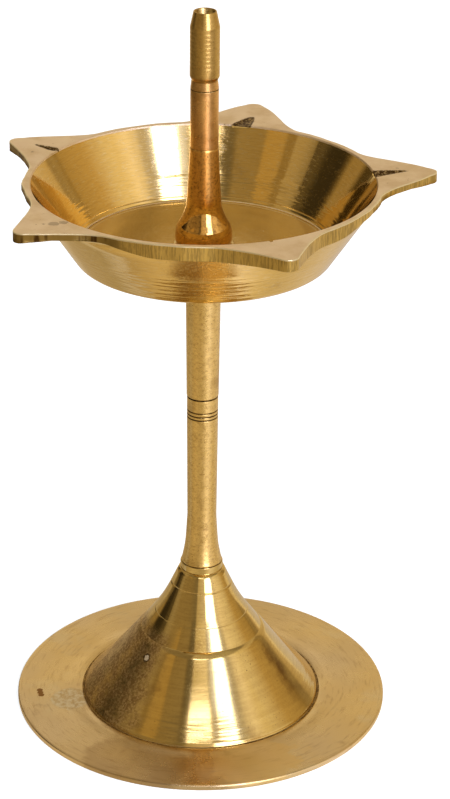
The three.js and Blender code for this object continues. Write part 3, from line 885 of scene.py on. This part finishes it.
# %% Outline with five ears
RIM_RADIUS, BOWL_MOUTH, BOWL_FLOOR = 43.6, 42.0, 31.0
BOWL_FLARE = (BOWL_MOUTH - BOWL_FLOOR) / (rim_top - bowl_floor)
BOWL_WALL, RIM_THICKNESS = 1.75, 3.6
EAR_LENGTHS = (13.8, 15.9, 12.7, 12.3, 10.9)
EAR_TURNS = (2.6, -0.2, 0.3, -2.0, -1.7)
EAR_ANGLES = [math.radians(72 * i + turn) for i, turn in enumerate(EAR_TURNS)]
EAR_SLOPES = ((44, 52), (48, 50), (50, 38), (38, 38), (38, 38))
EAR_TIP_WIDTH, EAR_TIP_ROUNDING = 2.5, 1.6
EAR_ROOT_ANGLE, EAR_SIDE_PULL, EAR_ROOT_PULL = 21, 7, 5
CORNER_ANGLE, CORNER_HALF, CORNER_HEIGHT = 178.5, 6.0, 0.6
FILED_WAVES = ((0.28, 3, 18), (0.1, 4, 5), (0.06, 5, 2))


def polar(distance, degrees):
    return np.array([distance * math.cos(math.radians(degrees)), distance * math.sin(math.radians(degrees))])


def beside(points, degrees):
    """How many degrees round the axis each point lies from a direction."""
    return (np.degrees(np.arctan2(points[:, 1], points[:, 0])) - degrees + 180) % 360 - 180


def ear_line(length, angle, slopes):
    """One ear's outline, from its clockwise root round the tip, as three curves."""
    root = polar(RIM_RADIUS, EAR_ROOT_ANGLE)
    pull = polar(EAR_ROOT_PULL, EAR_ROOT_ANGLE - 90)
    reach = RIM_RADIUS + length
    shoulder = np.array([reach - EAR_TIP_ROUNDING, EAR_TIP_WIDTH])
    nose = np.array([reach + EAR_TIP_ROUNDING / 2, EAR_TIP_WIDTH / 2])
    first, last = [[root, root + pull, shoulder + polar(EAR_SIDE_PULL, 180 - slope), shoulder]
                   for slope in slopes]
    mirror = np.array([1, -1])
    pieces = [[p * mirror for p in first], [shoulder * mirror, nose * mirror, nose, shoulder], last[::-1]]
    turn = np.array([[math.cos(angle), math.sin(angle)], [-math.sin(angle), math.cos(angle)]])
    line = []
    for a, b, c, d in pieces:
        for t in np.linspace(0, 1, 40)[:-1]:
            point = (1 - t) ** 3 * a + 3 * t * (1 - t) ** 2 * b + 3 * t ** 2 * (1 - t) * c + t ** 3 * d
            line.append(point @ turn)
    return line


def wavy(seed, width, count=OUTLINE_STEPS):
    """Seeded noise round a closed line, smoothed over `width` steps, from 0 to 1."""
    raw = np.random.default_rng(seed).random(count)
    window = np.hanning(width + 2)[1:-1]
    soft = np.convolve(np.tile(raw, 3), window / window.sum(), "same")[count:2 * count]
    return (soft - soft.min()) / (soft.max() - soft.min())


def rim_line():
    line = []
    for i, (length, angle) in enumerate(zip(EAR_LENGTHS, EAR_ANGLES)):
        line += ear_line(length, angle, EAR_SLOPES[i])
        after = EAR_ANGLES[(i + 1) % 5] + (2 * math.pi if i == 4 else 0)
        root = math.radians(EAR_ROOT_ANGLE)
        line += [polar(RIM_RADIUS, math.degrees(a)) for a in np.linspace(angle + root, after - root, 60)[:-1]]
    closed = np.array(line + line[:1])
    along = np.concatenate([[0], np.cumsum(np.linalg.norm(np.diff(closed, axis=0), axis=1))])
    steps = np.linspace(0, along[-1], OUTLINE_STEPS, endpoint=False)
    even = np.stack([np.interp(steps, along, closed[:, k]) for k in (0, 1)], 1)
    away = even / np.linalg.norm(even, axis=1, keepdims=True)
    filed = sum(depth * wavy(seed, width) for depth, seed, width in FILED_WAVES)
    blunt = CORNER_HEIGHT * np.clip(1 - np.abs(beside(even, CORNER_ANGLE)) / CORNER_HALF, 0, 1)
    return even + away * (blunt - filed)[:, None], along[-1]


rim_points, rim_length = rim_line()
ear_outline = closed_line("ear_outline", rim_points)
print(f"rim outline {rim_length:.0f} mm round")

# %% [markdown]
# ## The dish
# The same lathe makes the dish: its inner rows stay round, and the rows of the rim follow the outline. The
# rim is then filed thinner from below, apart from the front, and the wick grooves are cut from above. Each
# groove is a few stations along its ear, each with two sides and a depth.

# %% Dish
GROOVES = (
    (0, ((-1.0, -2.3, 2.2, 0.9), (0.5, -2.2, 2.2, 0.8), (4.0, -0.7, 1.9, 0.5), (8.4, 0.9, 1.4, 0.1))),
    (1, ((-1.0, -2.6, 2.6, 0.7), (0.5, -2.6, 2.4, 0.6), (4.0, -2.5, 0.9, 0.4), (6.8, -2.0, -0.8, 0.1))),
    (2, ((-0.4, 0.2, 0.5, 0.1), (0.9, -1.0, 1.6, 0.4), (3.0, -0.8, 1.4, 0.45), (7.4, -0.4, 0.1, 0.1))),
    (4, ((-1.0, -0.8, 0.8, 0.9), (0.3, -0.4, 0.4, 0.4), (0.6, -0.1, 0.1, 0.1))),
)
GROOVE_GRAIN, GROOVE_SEED, GROOVE_EDGE, CLEAN_EAR = (0.8, 0.4), 11, 0.02, 4
THIN_RIM, TIP_EXTRA, TIP_FROM, TIP_FADE = 1.7, 0.75, 50, 6
THICK_SIDE, THICK_HALF, THICK_SOFT = -80.0, 29.0, 22.0
UNDER_RIM, INSIDE_RIM, OUTSIDE_WALL = 0.3, 4.5, 0.4
EDGE_BAND, TOP_BAND, MOUTH_ROWS = 0.3, 1.35, (0.4, 0.8)
CREASE_HEIGHT, CREASE_HALF, CREASE_DEPTH = 0.9, 0.12, 0.1
FLOOR_LINE = ((1.2, 0.0, 0.05), (1.35, 0.08, 0.04), (1.5, 0.0, 0.05))
TOP, EDGE, FLOOR = range(1, 4)
TOP_SHARES = (1.0, 0.84, 0.7, 0.58, 0.49, 0.41, 0.34, 0.28, 0.22, 0.17, 0.12, 0.08, 0.04, 0.0)
EAR_RISE = 1.1 / (max(EAR_LENGTHS) + EAR_TIP_ROUNDING)
DISH_START = 18


def bowl_radius(height):
    return BOWL_FLOOR + BOWL_FLARE * (height - bowl_floor)


def dish_profile():
    under, hole = rim_top - RIM_THICKNESS, STEM_SPIGOT + CLEARANCE
    edge, start = RIM_RADIUS - EDGE_BAND, RIM_RADIUS - TOP_BAND
    crease, wall = bowl_floor + CREASE_HEIGHT, bowl_radius(under) + BOWL_WALL
    above, below = crease + CREASE_HALF, crease - CREASE_HALF
    return [
        *run((DISH_START, dish_under), (bowl_radius(dish_under) + BOWL_WALL, dish_under, 1.3),
             (wall, under, 0.5), (wall + 0.6, under)),
        *run((edge, under), (RIM_RADIUS, under, 0.25), reach=1, lift=EAR_RISE, finish=EDGE),
        corner(RIM_RADIUS, rim_top, 0.16, reach=1, finish=EDGE),
        *[corner(edge + (start - edge) * (1 - s), rim_top, reach=s, finish=TOP) for s in TOP_SHARES],
        corner(BOWL_MOUTH, rim_top, 0.16, finish=TOP),
        *[corner(bowl_radius(rim_top - drop), rim_top - drop) for drop in MOUTH_ROWS],
        *run((bowl_radius(above), above, 0.05), (bowl_radius(crease) + CREASE_DEPTH, crease, 0.05),
             (bowl_radius(below), below, 0.05), (BOWL_FLOOR, bowl_floor, 0.45)),
        *run(*[(BOWL_FLOOR - inward, bowl_floor - down, soft) for inward, down, soft in FLOOR_LINE],
             (hole, bowl_floor, 0.1), finish=FLOOR),
        *run((hole, dish_under, 0.15), (DISH_START, dish_under)),
    ]


def move_points(mesh, points):
    mesh.vertices.foreach_set("co", (points * MM).astype(np.float32).ravel())
    mesh.update()


def thin_the_rim(mesh):
    """Files the rim thinner from below everywhere but at the front, where it was left thick."""
    points = read(mesh.vertices, "co", 3) / MM
    radius = np.hypot(points[:, 0], points[:, 1])
    thin = np.clip((np.abs(beside(points, THICK_SIDE)) - THICK_HALF) / THICK_SOFT, 0, 1)
    thin = thin * thin * (3 - 2 * thin)
    level = rim_top - THIN_RIM - TIP_EXTRA * np.clip((radius - TIP_FROM) / TIP_FADE, 0, 1)
    lowest = rim_top - RIM_THICKNESS - UNDER_RIM
    under = (points[:, 2] < level) & (points[:, 2] > lowest) & (radius > RIM_RADIUS - INSIDE_RIM)
    outside = under & (radius > bowl_radius(points[:, 2]) + BOWL_WALL - OUTSIDE_WALL)
    points[outside, 2] += (thin * (level - points[:, 2]))[outside]
    move_points(mesh, points)
    print("thinned points:", int((outside & (thin > 0)).sum()))


def cut_wick_grooves(mesh):
    """Sinks the points in each groove, and marks those that the flame has sooted."""
    points = read(mesh.vertices, "co", 3) / MM
    rough = GROOVE_GRAIN[0] + GROOVE_GRAIN[1] * np.random.default_rng(GROOVE_SEED).random(len(points))
    sooted = np.full(len(points), -1.0)
    for ear, stations in GROOVES:
        angle, table = EAR_ANGLES[ear], np.array(stations)
        along = points[:, 0] * math.cos(angle) + points[:, 1] * math.sin(angle) - BOWL_MOUTH
        across = points[:, 1] * math.cos(angle) - points[:, 0] * math.sin(angle)
        low, high, deep = (np.interp(along, table[:, 0], table[:, k]) for k in (1, 2, 3))
        inward = np.minimum(across - low, high - across)
        inward = np.minimum(inward, np.minimum(along - table[0, 0], table[-1, 0] - along))
        floor = rim_top - deep * np.clip(inward / np.maximum((high - low) / 4, 1e-6), 0, 1) * rough
        hit = (inward > GROOVE_EDGE) & (points[:, 2] > floor)
        points[hit, 2] = floor[hit]
        sooted = np.maximum(sooted, inward if ear != CLEAN_EAR else -1.0)
    move_points(mesh, points)
    layer = mesh.attributes.new("groove", "FLOAT", "POINT")
    layer.data.foreach_set("value", np.clip(sooted, -1, 1).astype(np.float32))
    print("groove points:", int((sooted > 0).sum()))


dish = turn_piece("eared_dish", dish_profile(), [bowl_metal, top_metal, edge_metal, floor_metal],
                  columns=OUTLINE_STEPS, outline=ear_outline, rim_radius=RIM_RADIUS)
thin_the_rim(dish.data)
cut_wick_grooves(dish.data)

# %% [markdown]
# ## Washer and finial
# A thin washer keeps the oil in. The bell-shaped nut above it clamps the dish, a plain rod screws into the
# nut, and the tip is bored, so that a stick or a wick holder can stand in it. A bevel on the rod and a
# rounded edge on the tip leave a dark V where they meet. The tip has faint ridges from the tool.

# %% Washer and finial
WASHER_RADIUS, WASHER_START = 7.6, 5
BELL_SEAT, BELL_TOP = 6.6, 3.46
BELL_LINE = ((6.85, 0.02), (6.97, 0.05), (6.95, 0.1), (6.8, 0.15), (6.5, 0.19), (5.95, 0.226), (5.45, 0.264),
             (4.96, 0.31), (4.6, 0.352), (4.36, 0.395), (4.15, 0.49), (3.83, 0.69), (3.56, 0.9))
ROD_RADIUS, ROD_NECK, ROD_BEVEL = 3.42, 3.2, 1.9
TIP_NECK, TIP_BEVEL, FINE_EDGE = 3.15, 1.0, 0.04
RIDGES, RIDGE_PITCH, RIDGE_DEPTH = 9, 1.05, 0.035
TIP_RADIUS, TIP_CONE, TIP_MOUTH, TIP_EDGE = 3.58, 3.8, 2.75, 0.25
TIP_BORE, TIP_BORE_DEPTH, COUNTERSINK = 1.5, 8.0, 2.2
ROD_SPIGOT, TIP_SPIGOT = 1.9, 1.8


def washer_profile():
    hole = STEM_SPIGOT + CLEARANCE
    return run((WASHER_START, bowl_floor), (WASHER_RADIUS, bowl_floor, 0.15),
               (WASHER_RADIUS, washer_top, 0.35), (hole, washer_top, 0.1), (hole, bowl_floor, 0.1),
               (WASHER_START, bowl_floor))


def bell_profile():
    tall = finial_joint - washer_top
    hole, reach = STEM_SPIGOT + CLEARANCE, top_of("upper_stem") + END_ROOM
    line = [(BELL_SEAT, washer_top + 0.02)]
    line += [(radius, washer_top + share * tall) for radius, share in BELL_LINE]
    return [
        *run((0, reach), (hole, reach, 0.1), (hole, washer_top, 0.1), finish=THREADED),
        corner(BELL_SEAT - 0.1, washer_top, 0.08),
        *curve(line + [(BELL_TOP, finial_joint - FINE_EDGE)], steps=4),
        corner(BELL_TOP - FINE_EDGE, finial_joint),
        *socket(ROD_SPIGOT + CLEARANCE, finial_joint, bottom_of("finial_shaft") - END_ROOM),
    ]


def rod_profile():
    bevel = tip_joint - ROD_BEVEL
    return [
        *spigot(ROD_SPIGOT, bottom_of("finial_shaft"), finial_joint),
        corner(ROD_RADIUS - FINE_EDGE / 2, finial_joint, finish=GRIME_AND_SHADE),
        *run((ROD_RADIUS, finial_joint + FINE_EDGE, 0.03), (ROD_RADIUS, bevel - 0.3, 0.05)),
        corner(ROD_RADIUS - 0.12, bevel - 0.15, 0.03, finish=GRIME_AND_SHADE),
        *run((ROD_RADIUS, bevel, 0.05), (ROD_NECK, tip_joint, 0.06)),
        *socket(TIP_SPIGOT + CLEARANCE, tip_joint, bottom_of("finial_tip") - END_ROOM),
    ]


def tip_profile():
    top, bore = lamp_top - TIP_CONE, lamp_top - TIP_BORE_DEPTH
    ridges = []
    for k in range(RIDGES):
        height = top - 1.0 - RIDGE_PITCH * (RIDGES - 1 - k)
        ridges += run((TIP_RADIUS, height - 0.3 * RIDGE_PITCH, 0.1), (TIP_RADIUS - RIDGE_DEPTH, height, 0.1))
    return [
        *spigot(TIP_SPIGOT, bottom_of("finial_tip"), tip_joint),
        *run((TIP_NECK, tip_joint, 0.06), (TIP_NECK, tip_joint + TIP_BEVEL / 5, 0.08),
             (TIP_RADIUS, tip_joint + TIP_BEVEL, 0.3)),
        *ridges,
        *run((TIP_RADIUS, top, 0.25), (TIP_MOUTH, lamp_top, 0.18), (TIP_MOUTH - TIP_EDGE, lamp_top, 0.12)),
        *run((TIP_BORE, lamp_top - COUNTERSINK, 0.2), (TIP_BORE, bore, 0.1), (0, bore), finish=THREADED),
    ]


washer = turn_piece("clamp_washer", washer_profile(), [floor_metal])
bell = turn_piece("bell_nut", bell_profile(), [bell_brass, cut_brass])
rod = turn_piece("finial_rod", rod_profile(), [red_brass, cut_brass, grime_and_shade], pitch=M4_PITCH)
tip = turn_piece("bored_tip", tip_profile(), [tip_brass, cut_brass], pitch=M4_PITCH)
for line in (round_line, ear_outline):
    bpy.data.objects.remove(line)

# %% [markdown]
# ## Each piece on its body
# The solid pieces stay in the motion model. Each fine piece is shown in the place of its solid and moves
# with the same body, so that the lamp can still be unscrewed.

# %% Ride on the bodies
PIECES = [
    (foot, "foot", "foot_plate_and_cone", "stand_brass"),
    (lower_rod, "lower_stem", "lower_stem", "stand_brass"),
    (upper_rod, "upper_stem", "upper_stem", "stand_brass"),
    (dish, "dish", "five_ear_dish", "dish_brass"),
    (washer, "washer", "seal_washer", "dish_brass"),
    (bell, "finial_foot", "finial_foot", "finial_brass"),
    (rod, "finial_shaft", "finial_shaft", "finial_brass"),
    (tip, "finial_tip", "finial_tip", "finial_brass"),
]
for piece, body, node, slot in PIECES:
    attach(piece, body)
    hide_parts(node)
print("pieces:", [piece.name for piece, *_ in PIECES])

# %% [markdown]
# ## The studio
# Polished metal shows the room, so the room matters as much as the metal. It has a tall bright window to
# the right of the camera, a second one above the camera, a dark doorway on the left and a narrow dark post
# on the right. They put the white band and the brown bars into the bowl. All of it is a colour by direction
# in the world. Three bands of height each have their own stops round the horizon, each stop with an angle,
# a brightness and a warmth. Above them is a calm ceiling. The camera itself sees plain white.

# %% World
PHOTO_TURN = 5.2
OVERHEAD, CEILING = 0.5, 0.62
HIGH_FROM, TOP_FROM, CEILING_FROM, OVERHEAD_FROM = (32.5, 35), (47.5, 48.5), (50.3, 51.3), (66, 80)
ROOM_TINT = (0.94, 0.76, 0.5)
LOW_STOPS = (
    (-180, 0.28, 0.25), (-172, 0.4, 0.15), (-160, 0.34, 0.35), (-128, 0.32, 0.35), (-110, 0.26, 0.2),
    (-105, 0.26, 0.1), (-102, 0.65, 0.1), (-77, 0.8, -0.4), (-75.5, 6.0, -1.0), (-51, 6.0, -1.0),
    (-49.5, 1.2, -1.2), (-46, 0.9, -0.5), (-35, 1.1, -0.3), (-10, 0.86, -0.1), (8, 0.6, 0.45),
    (28, 0.46, 0.5), (31, 0.35, 0.5), (34, 0.4, 0.35), (40, 0.36, 0.35), (43, 0.6, 0.3), (66, 0.75, 0.1),
    (112, 0.8, 0.0), (121, 0.3, 0.3), (125, 0.08, 0.5), (132, 0.08, 0.6), (138, 0.34, 0.45),
    (148, 0.34, 0.45), (151.5, 0.13, 0.5), (155, 0.04, 0.3), (168, 0.045, 0.3), (174, 0.11, 0.3),
)
HIGH_STOPS = (
    (-180, 0.45, 0.2), (-174, 0.45, 0.3), (-164.5, 0.46, 0.2), (-163.3, 0.31, 0.5), (-157, 0.31, 0.5),
    (-155.8, 0.48, 0.5), (-141, 0.49, 0.55), (-139.6, 0.33, 0.4), (-118, 0.35, 0.3), (-116, 0.25, 0.3),
    (-113, 0.19, 0.1), (-105, 0.21, 0.05), (-102.5, 0.68, 0.1), (-92, 0.85, 0.0), (-79.5, 1.0, -0.2),
    (-78, 0.68, -0.5), (-76, 0.68, -0.5), (-75, 0.82, -1.3), (-71, 1.1, -1.7), (-68.5, 1.3, -2.0),
    (-66, 6.0, -1.0), (-48, 6.0, -1.0), (-46.5, 1.05, -1.9), (-43.5, 0.73, -1.2), (-41, 0.63, -0.5),
    (-36, 0.7, -0.45), (-34.5, 0.9, -0.35), (-26, 1.12, -0.35), (-16, 0.94, 0.0), (20, 0.62, 0.2),
    (165, 0.34, 0.2), (172, 0.45, 0.2),
)
TOP_STOPS = (
    (-180, 0.3, 0.2), (-112, 0.25, 0.2), (-107, 0.9, -0.5), (-105, 6.0, -1.0), (-78, 6.0, -1.0),
    (-75.5, 1.2, -0.4), (-72, 0.55, -0.2), (-40, 0.5, 0.0), (-10, 0.5, 0.0), (12, 0.28, 0.1),
    (20, 0.36, 0.1), (38, 0.42, 0.1), (46, 0.62, 0.0), (75, 0.5, 0.0), (98, 0.62, -0.2),
    (112, 0.62, -0.2), (124, 0.5, 0.0), (148, 0.54, 0.0), (165, 0.36, 0.2),
)


def grey(value, warmth=0.0):
    """A grey light of the room, turned browner by warmth, or bluer where warmth is below zero."""
    green = 0.35 if warmth > 0 else 0.16
    parts = value, value * (1 - green * warmth), value * (1 - warmth)
    return tuple(part * tint for part, tint in zip(parts, ROOM_TINT)) + (1.0,)


def horizon_share(tree, vector):
    """The direction round the horizon as a share of a turn, with the camera's left at both ends."""
    part = split(tree, vector)
    angle = math_node(tree, "ARCTAN2", part["Y"], part["X"])
    share = math_node(tree, "MULTIPLY_ADD", angle, 1 / (2 * math.pi), 0.5 + PHOTO_TURN / 360)
    return math_node(tree, "FRACT", share)


def horizon_colour(tree, share, stops):
    node = add(tree, "ShaderNodeValToRGB", {"Fac": share})
    elements = node.color_ramp.elements
    elements.remove(elements[1])
    for i, (azimuth, level, warmth) in enumerate(stops):
        place = (azimuth + 180) / 360
        element = elements.new(place) if i else elements[0]
        element.position = place
        element.color = grey(level, warmth)
    return node.outputs["Color"]


def camera_sees(tree, seen, others):
    """One shader for the camera's own rays, and another for all the rest."""
    rays = add(tree, "ShaderNodeLightPath").outputs
    return add(tree, "ShaderNodeMixShader", {0: rays["Is Camera Ray"], 1: others, 2: seen}).outputs[0]


def world_studio():
    world = bpy.data.worlds.new("room_with_windows")
    bpy.context.scene.world = world
    world.use_nodes = True
    tree = world.node_tree
    tree.nodes.clear()
    way = add(tree, "ShaderNodeTexCoord").outputs["Generated"]
    rise = split(tree, way)["Z"]
    share = horizon_share(tree, way)

    def above(light, degrees, upper):
        """The light with another one above a height in degrees."""
        low, high = (math.sin(math.radians(angle)) for angle in degrees)
        return blend_colour(tree, ramp(tree, rise, low, high), light, upper)

    light = horizon_colour(tree, share, LOW_STOPS)
    light = above(light, HIGH_FROM, horizon_colour(tree, share, HIGH_STOPS))
    light = above(light, TOP_FROM, horizon_colour(tree, share, TOP_STOPS))
    light = above(light, CEILING_FROM, vector_node(tree, "MINIMUM", light, grey(CEILING)[:3]))
    light = above(light, OVERHEAD_FROM, grey(OVERHEAD))
    white, lit = (add(tree, "ShaderNodeBackground", {"Color": colour, "Strength": 1.0}).outputs[0]
                  for colour in ((1, 1, 1, 1), light))
    add(tree, "ShaderNodeOutputWorld", {"Surface": camera_sees(tree, white, lit)})


world_studio()
print("room with", len(LOW_STOPS) + len(HIGH_STOPS) + len(TOP_STOPS), "stops")

# %% [markdown]
# ## The table
# A wide pale table carries the lamp's shadow. For the camera it is lifted to white, and the shadow is the
# only thing that stays darker. In the brass it glows with painted light, as the real table looked: brightest
# near the window, to the right of the camera, and duller on the left. Three rings of it, near, middle and
# far, have stops round the horizon like the room's.

# %% Table
TABLE_SIZE, CARD, TABLE_LIFT = 3.0, "#EDEDED", (0.62, 0.72, 0.82, 1.0)
MIDDLE_RING, FAR_RING = (0.16, 0.2), (0.27, 0.36)
NEAR_STOPS = (
    (-180, 0.48, 0.2), (-150, 0.66, 0.15), (-135, 0.7, 0.1), (-110, 0.6, 0.1), (-92, 0.57, 0.05),
    (-76, 0.62, 0.0), (-60, 0.88, -0.2), (-45, 1.05, -0.5), (-28, 0.9, -0.3), (-10, 0.75, 0.0),
    (5, 0.66, 0.0), (45, 0.74, -0.35), (80, 0.64, -0.2), (105, 0.58, 0.1), (125, 0.5, 0.1),
    (160, 0.45, 0.0), (172, 0.6, -0.5),
)
MIDDLE_STOPS = (
    (-180, 0.66, -0.2), (-156, 0.64, 0.15), (-133, 0.7, 0.15), (-105, 0.48, 0.2), (-88, 0.46, 0.1),
    (-71, 0.62, -0.2), (-56, 1.0, -0.5), (-42, 1.45, -0.9), (-25, 1.25, -0.7), (-5, 1.0, -0.5),
    (20, 0.86, -0.6), (45, 0.72, -0.3), (75, 0.66, -0.45), (106, 0.63, -0.1), (130, 0.55, 0.1),
    (165, 0.6, 0.0),
)
FAR_STOPS = (
    (-180, 0.16, 0.3), (-162, 0.2, 0.3), (-148, 0.35, 0.3), (-130, 0.42, 0.25), (-112, 0.58, 0.15),
    (-92, 1.0, 0.0), (-72, 0.78, 0.0), (-50, 0.6, 0.1), (-35, 0.44, 0.2), (-22, 0.5, 0.1),
    (-13, 0.4, 0.2), (5, 0.8, 0.0), (60, 1.0, 0.0), (100, 0.9, 0.0), (125, 0.6, 0.1), (150, 0.22, 0.3),
)


def glowing(tree, colour):
    return add(tree, "ShaderNodeEmission", {"Color": colour, "Strength": 1.0}).outputs[0]


def pale_table():
    mesh = bpy.data.meshes.new("pale_table")
    corners = [(x * TABLE_SIZE, y * TABLE_SIZE, 0) for x, y in ((-1, -1), (1, -1), (1, 1), (-1, 1))]
    mesh.from_pydata(corners, [], [(0, 1, 2, 3)])
    table = place_object("pale_table", mesh)
    material, tree = new_material("white_card_table")
    card = add(tree, "ShaderNodeBsdfDiffuse", {"Color": linear(CARD)}).outputs[0]
    white = add(tree, "ShaderNodeAddShader", {0: card, 1: glowing(tree, TABLE_LIFT)}).outputs[0]
    point = object_point(tree)
    share, away = horizon_share(tree, point), vector_node(tree, "LENGTH", point)
    near, middle, far = (horizon_colour(tree, share, stops)
                         for stops in (NEAR_STOPS, MIDDLE_STOPS, FAR_STOPS))
    glow = blend_colour(tree, ramp(tree, away, *MIDDLE_RING), near, middle)
    glow = blend_colour(tree, ramp(tree, away, *FAR_RING), glow, far)
    add(tree, "ShaderNodeOutputMaterial", {"Surface": camera_sees(tree, white, glowing(tree, glow))})
    mesh.materials.append(material)
    return table


pale_table()
print("table with", len(NEAR_STOPS) + len(MIDDLE_STOPS) + len(FAR_STOPS), "stops")

# %% [markdown]
# ## The camera
# The lamp was photographed from above the dish and fairly close, with a long lens. The place, the tilt and
# the small roll were found by laying the round edges of the lamp over their ellipses in the picture.

# %% Camera
CAMERA_DISTANCE, CAMERA_HEIGHT = 590.1, 360.9
CAMERA_PITCH, CAMERA_YAW, CAMERA_ROLL = 0.438, 0.0095, 0.0106
FOCAL_PIXELS, PICTURE_HEIGHT = 2601.0, 799.0
SENSOR = 36.0


def photo_camera():
    turn = math.radians(-PHOTO_TURN)
    data = bpy.data.cameras.new("photo_camera")
    data.lens = FOCAL_PIXELS * SENSOR / PICTURE_HEIGHT
    data.sensor_width = SENSOR
    data.sensor_fit = "AUTO"
    camera = place_object("photo_camera", data)
    camera.location = (CAMERA_DISTANCE * MM * math.sin(turn), -CAMERA_DISTANCE * MM * math.cos(turn),
                       CAMERA_HEIGHT * MM)
    camera.rotation_mode = "XYZ"
    heading = turn - CAMERA_YAW
    level = math.cos(CAMERA_PITCH)
    forward = Vector((-math.sin(heading) * level, math.cos(heading) * level, -math.sin(CAMERA_PITCH)))
    turned = forward.to_track_quat("-Z", "Y").to_matrix().to_4x4()
    camera.rotation_euler = (turned @ Matrix.Rotation(CAMERA_ROLL, 4, "Z")).to_euler()
    return camera


bpy.context.scene.camera = photo_camera()
bpy.context.scene.view_settings.view_transform = "Standard"
print("camera with a lens of", round(bpy.context.scene.camera.data.lens), "mm")
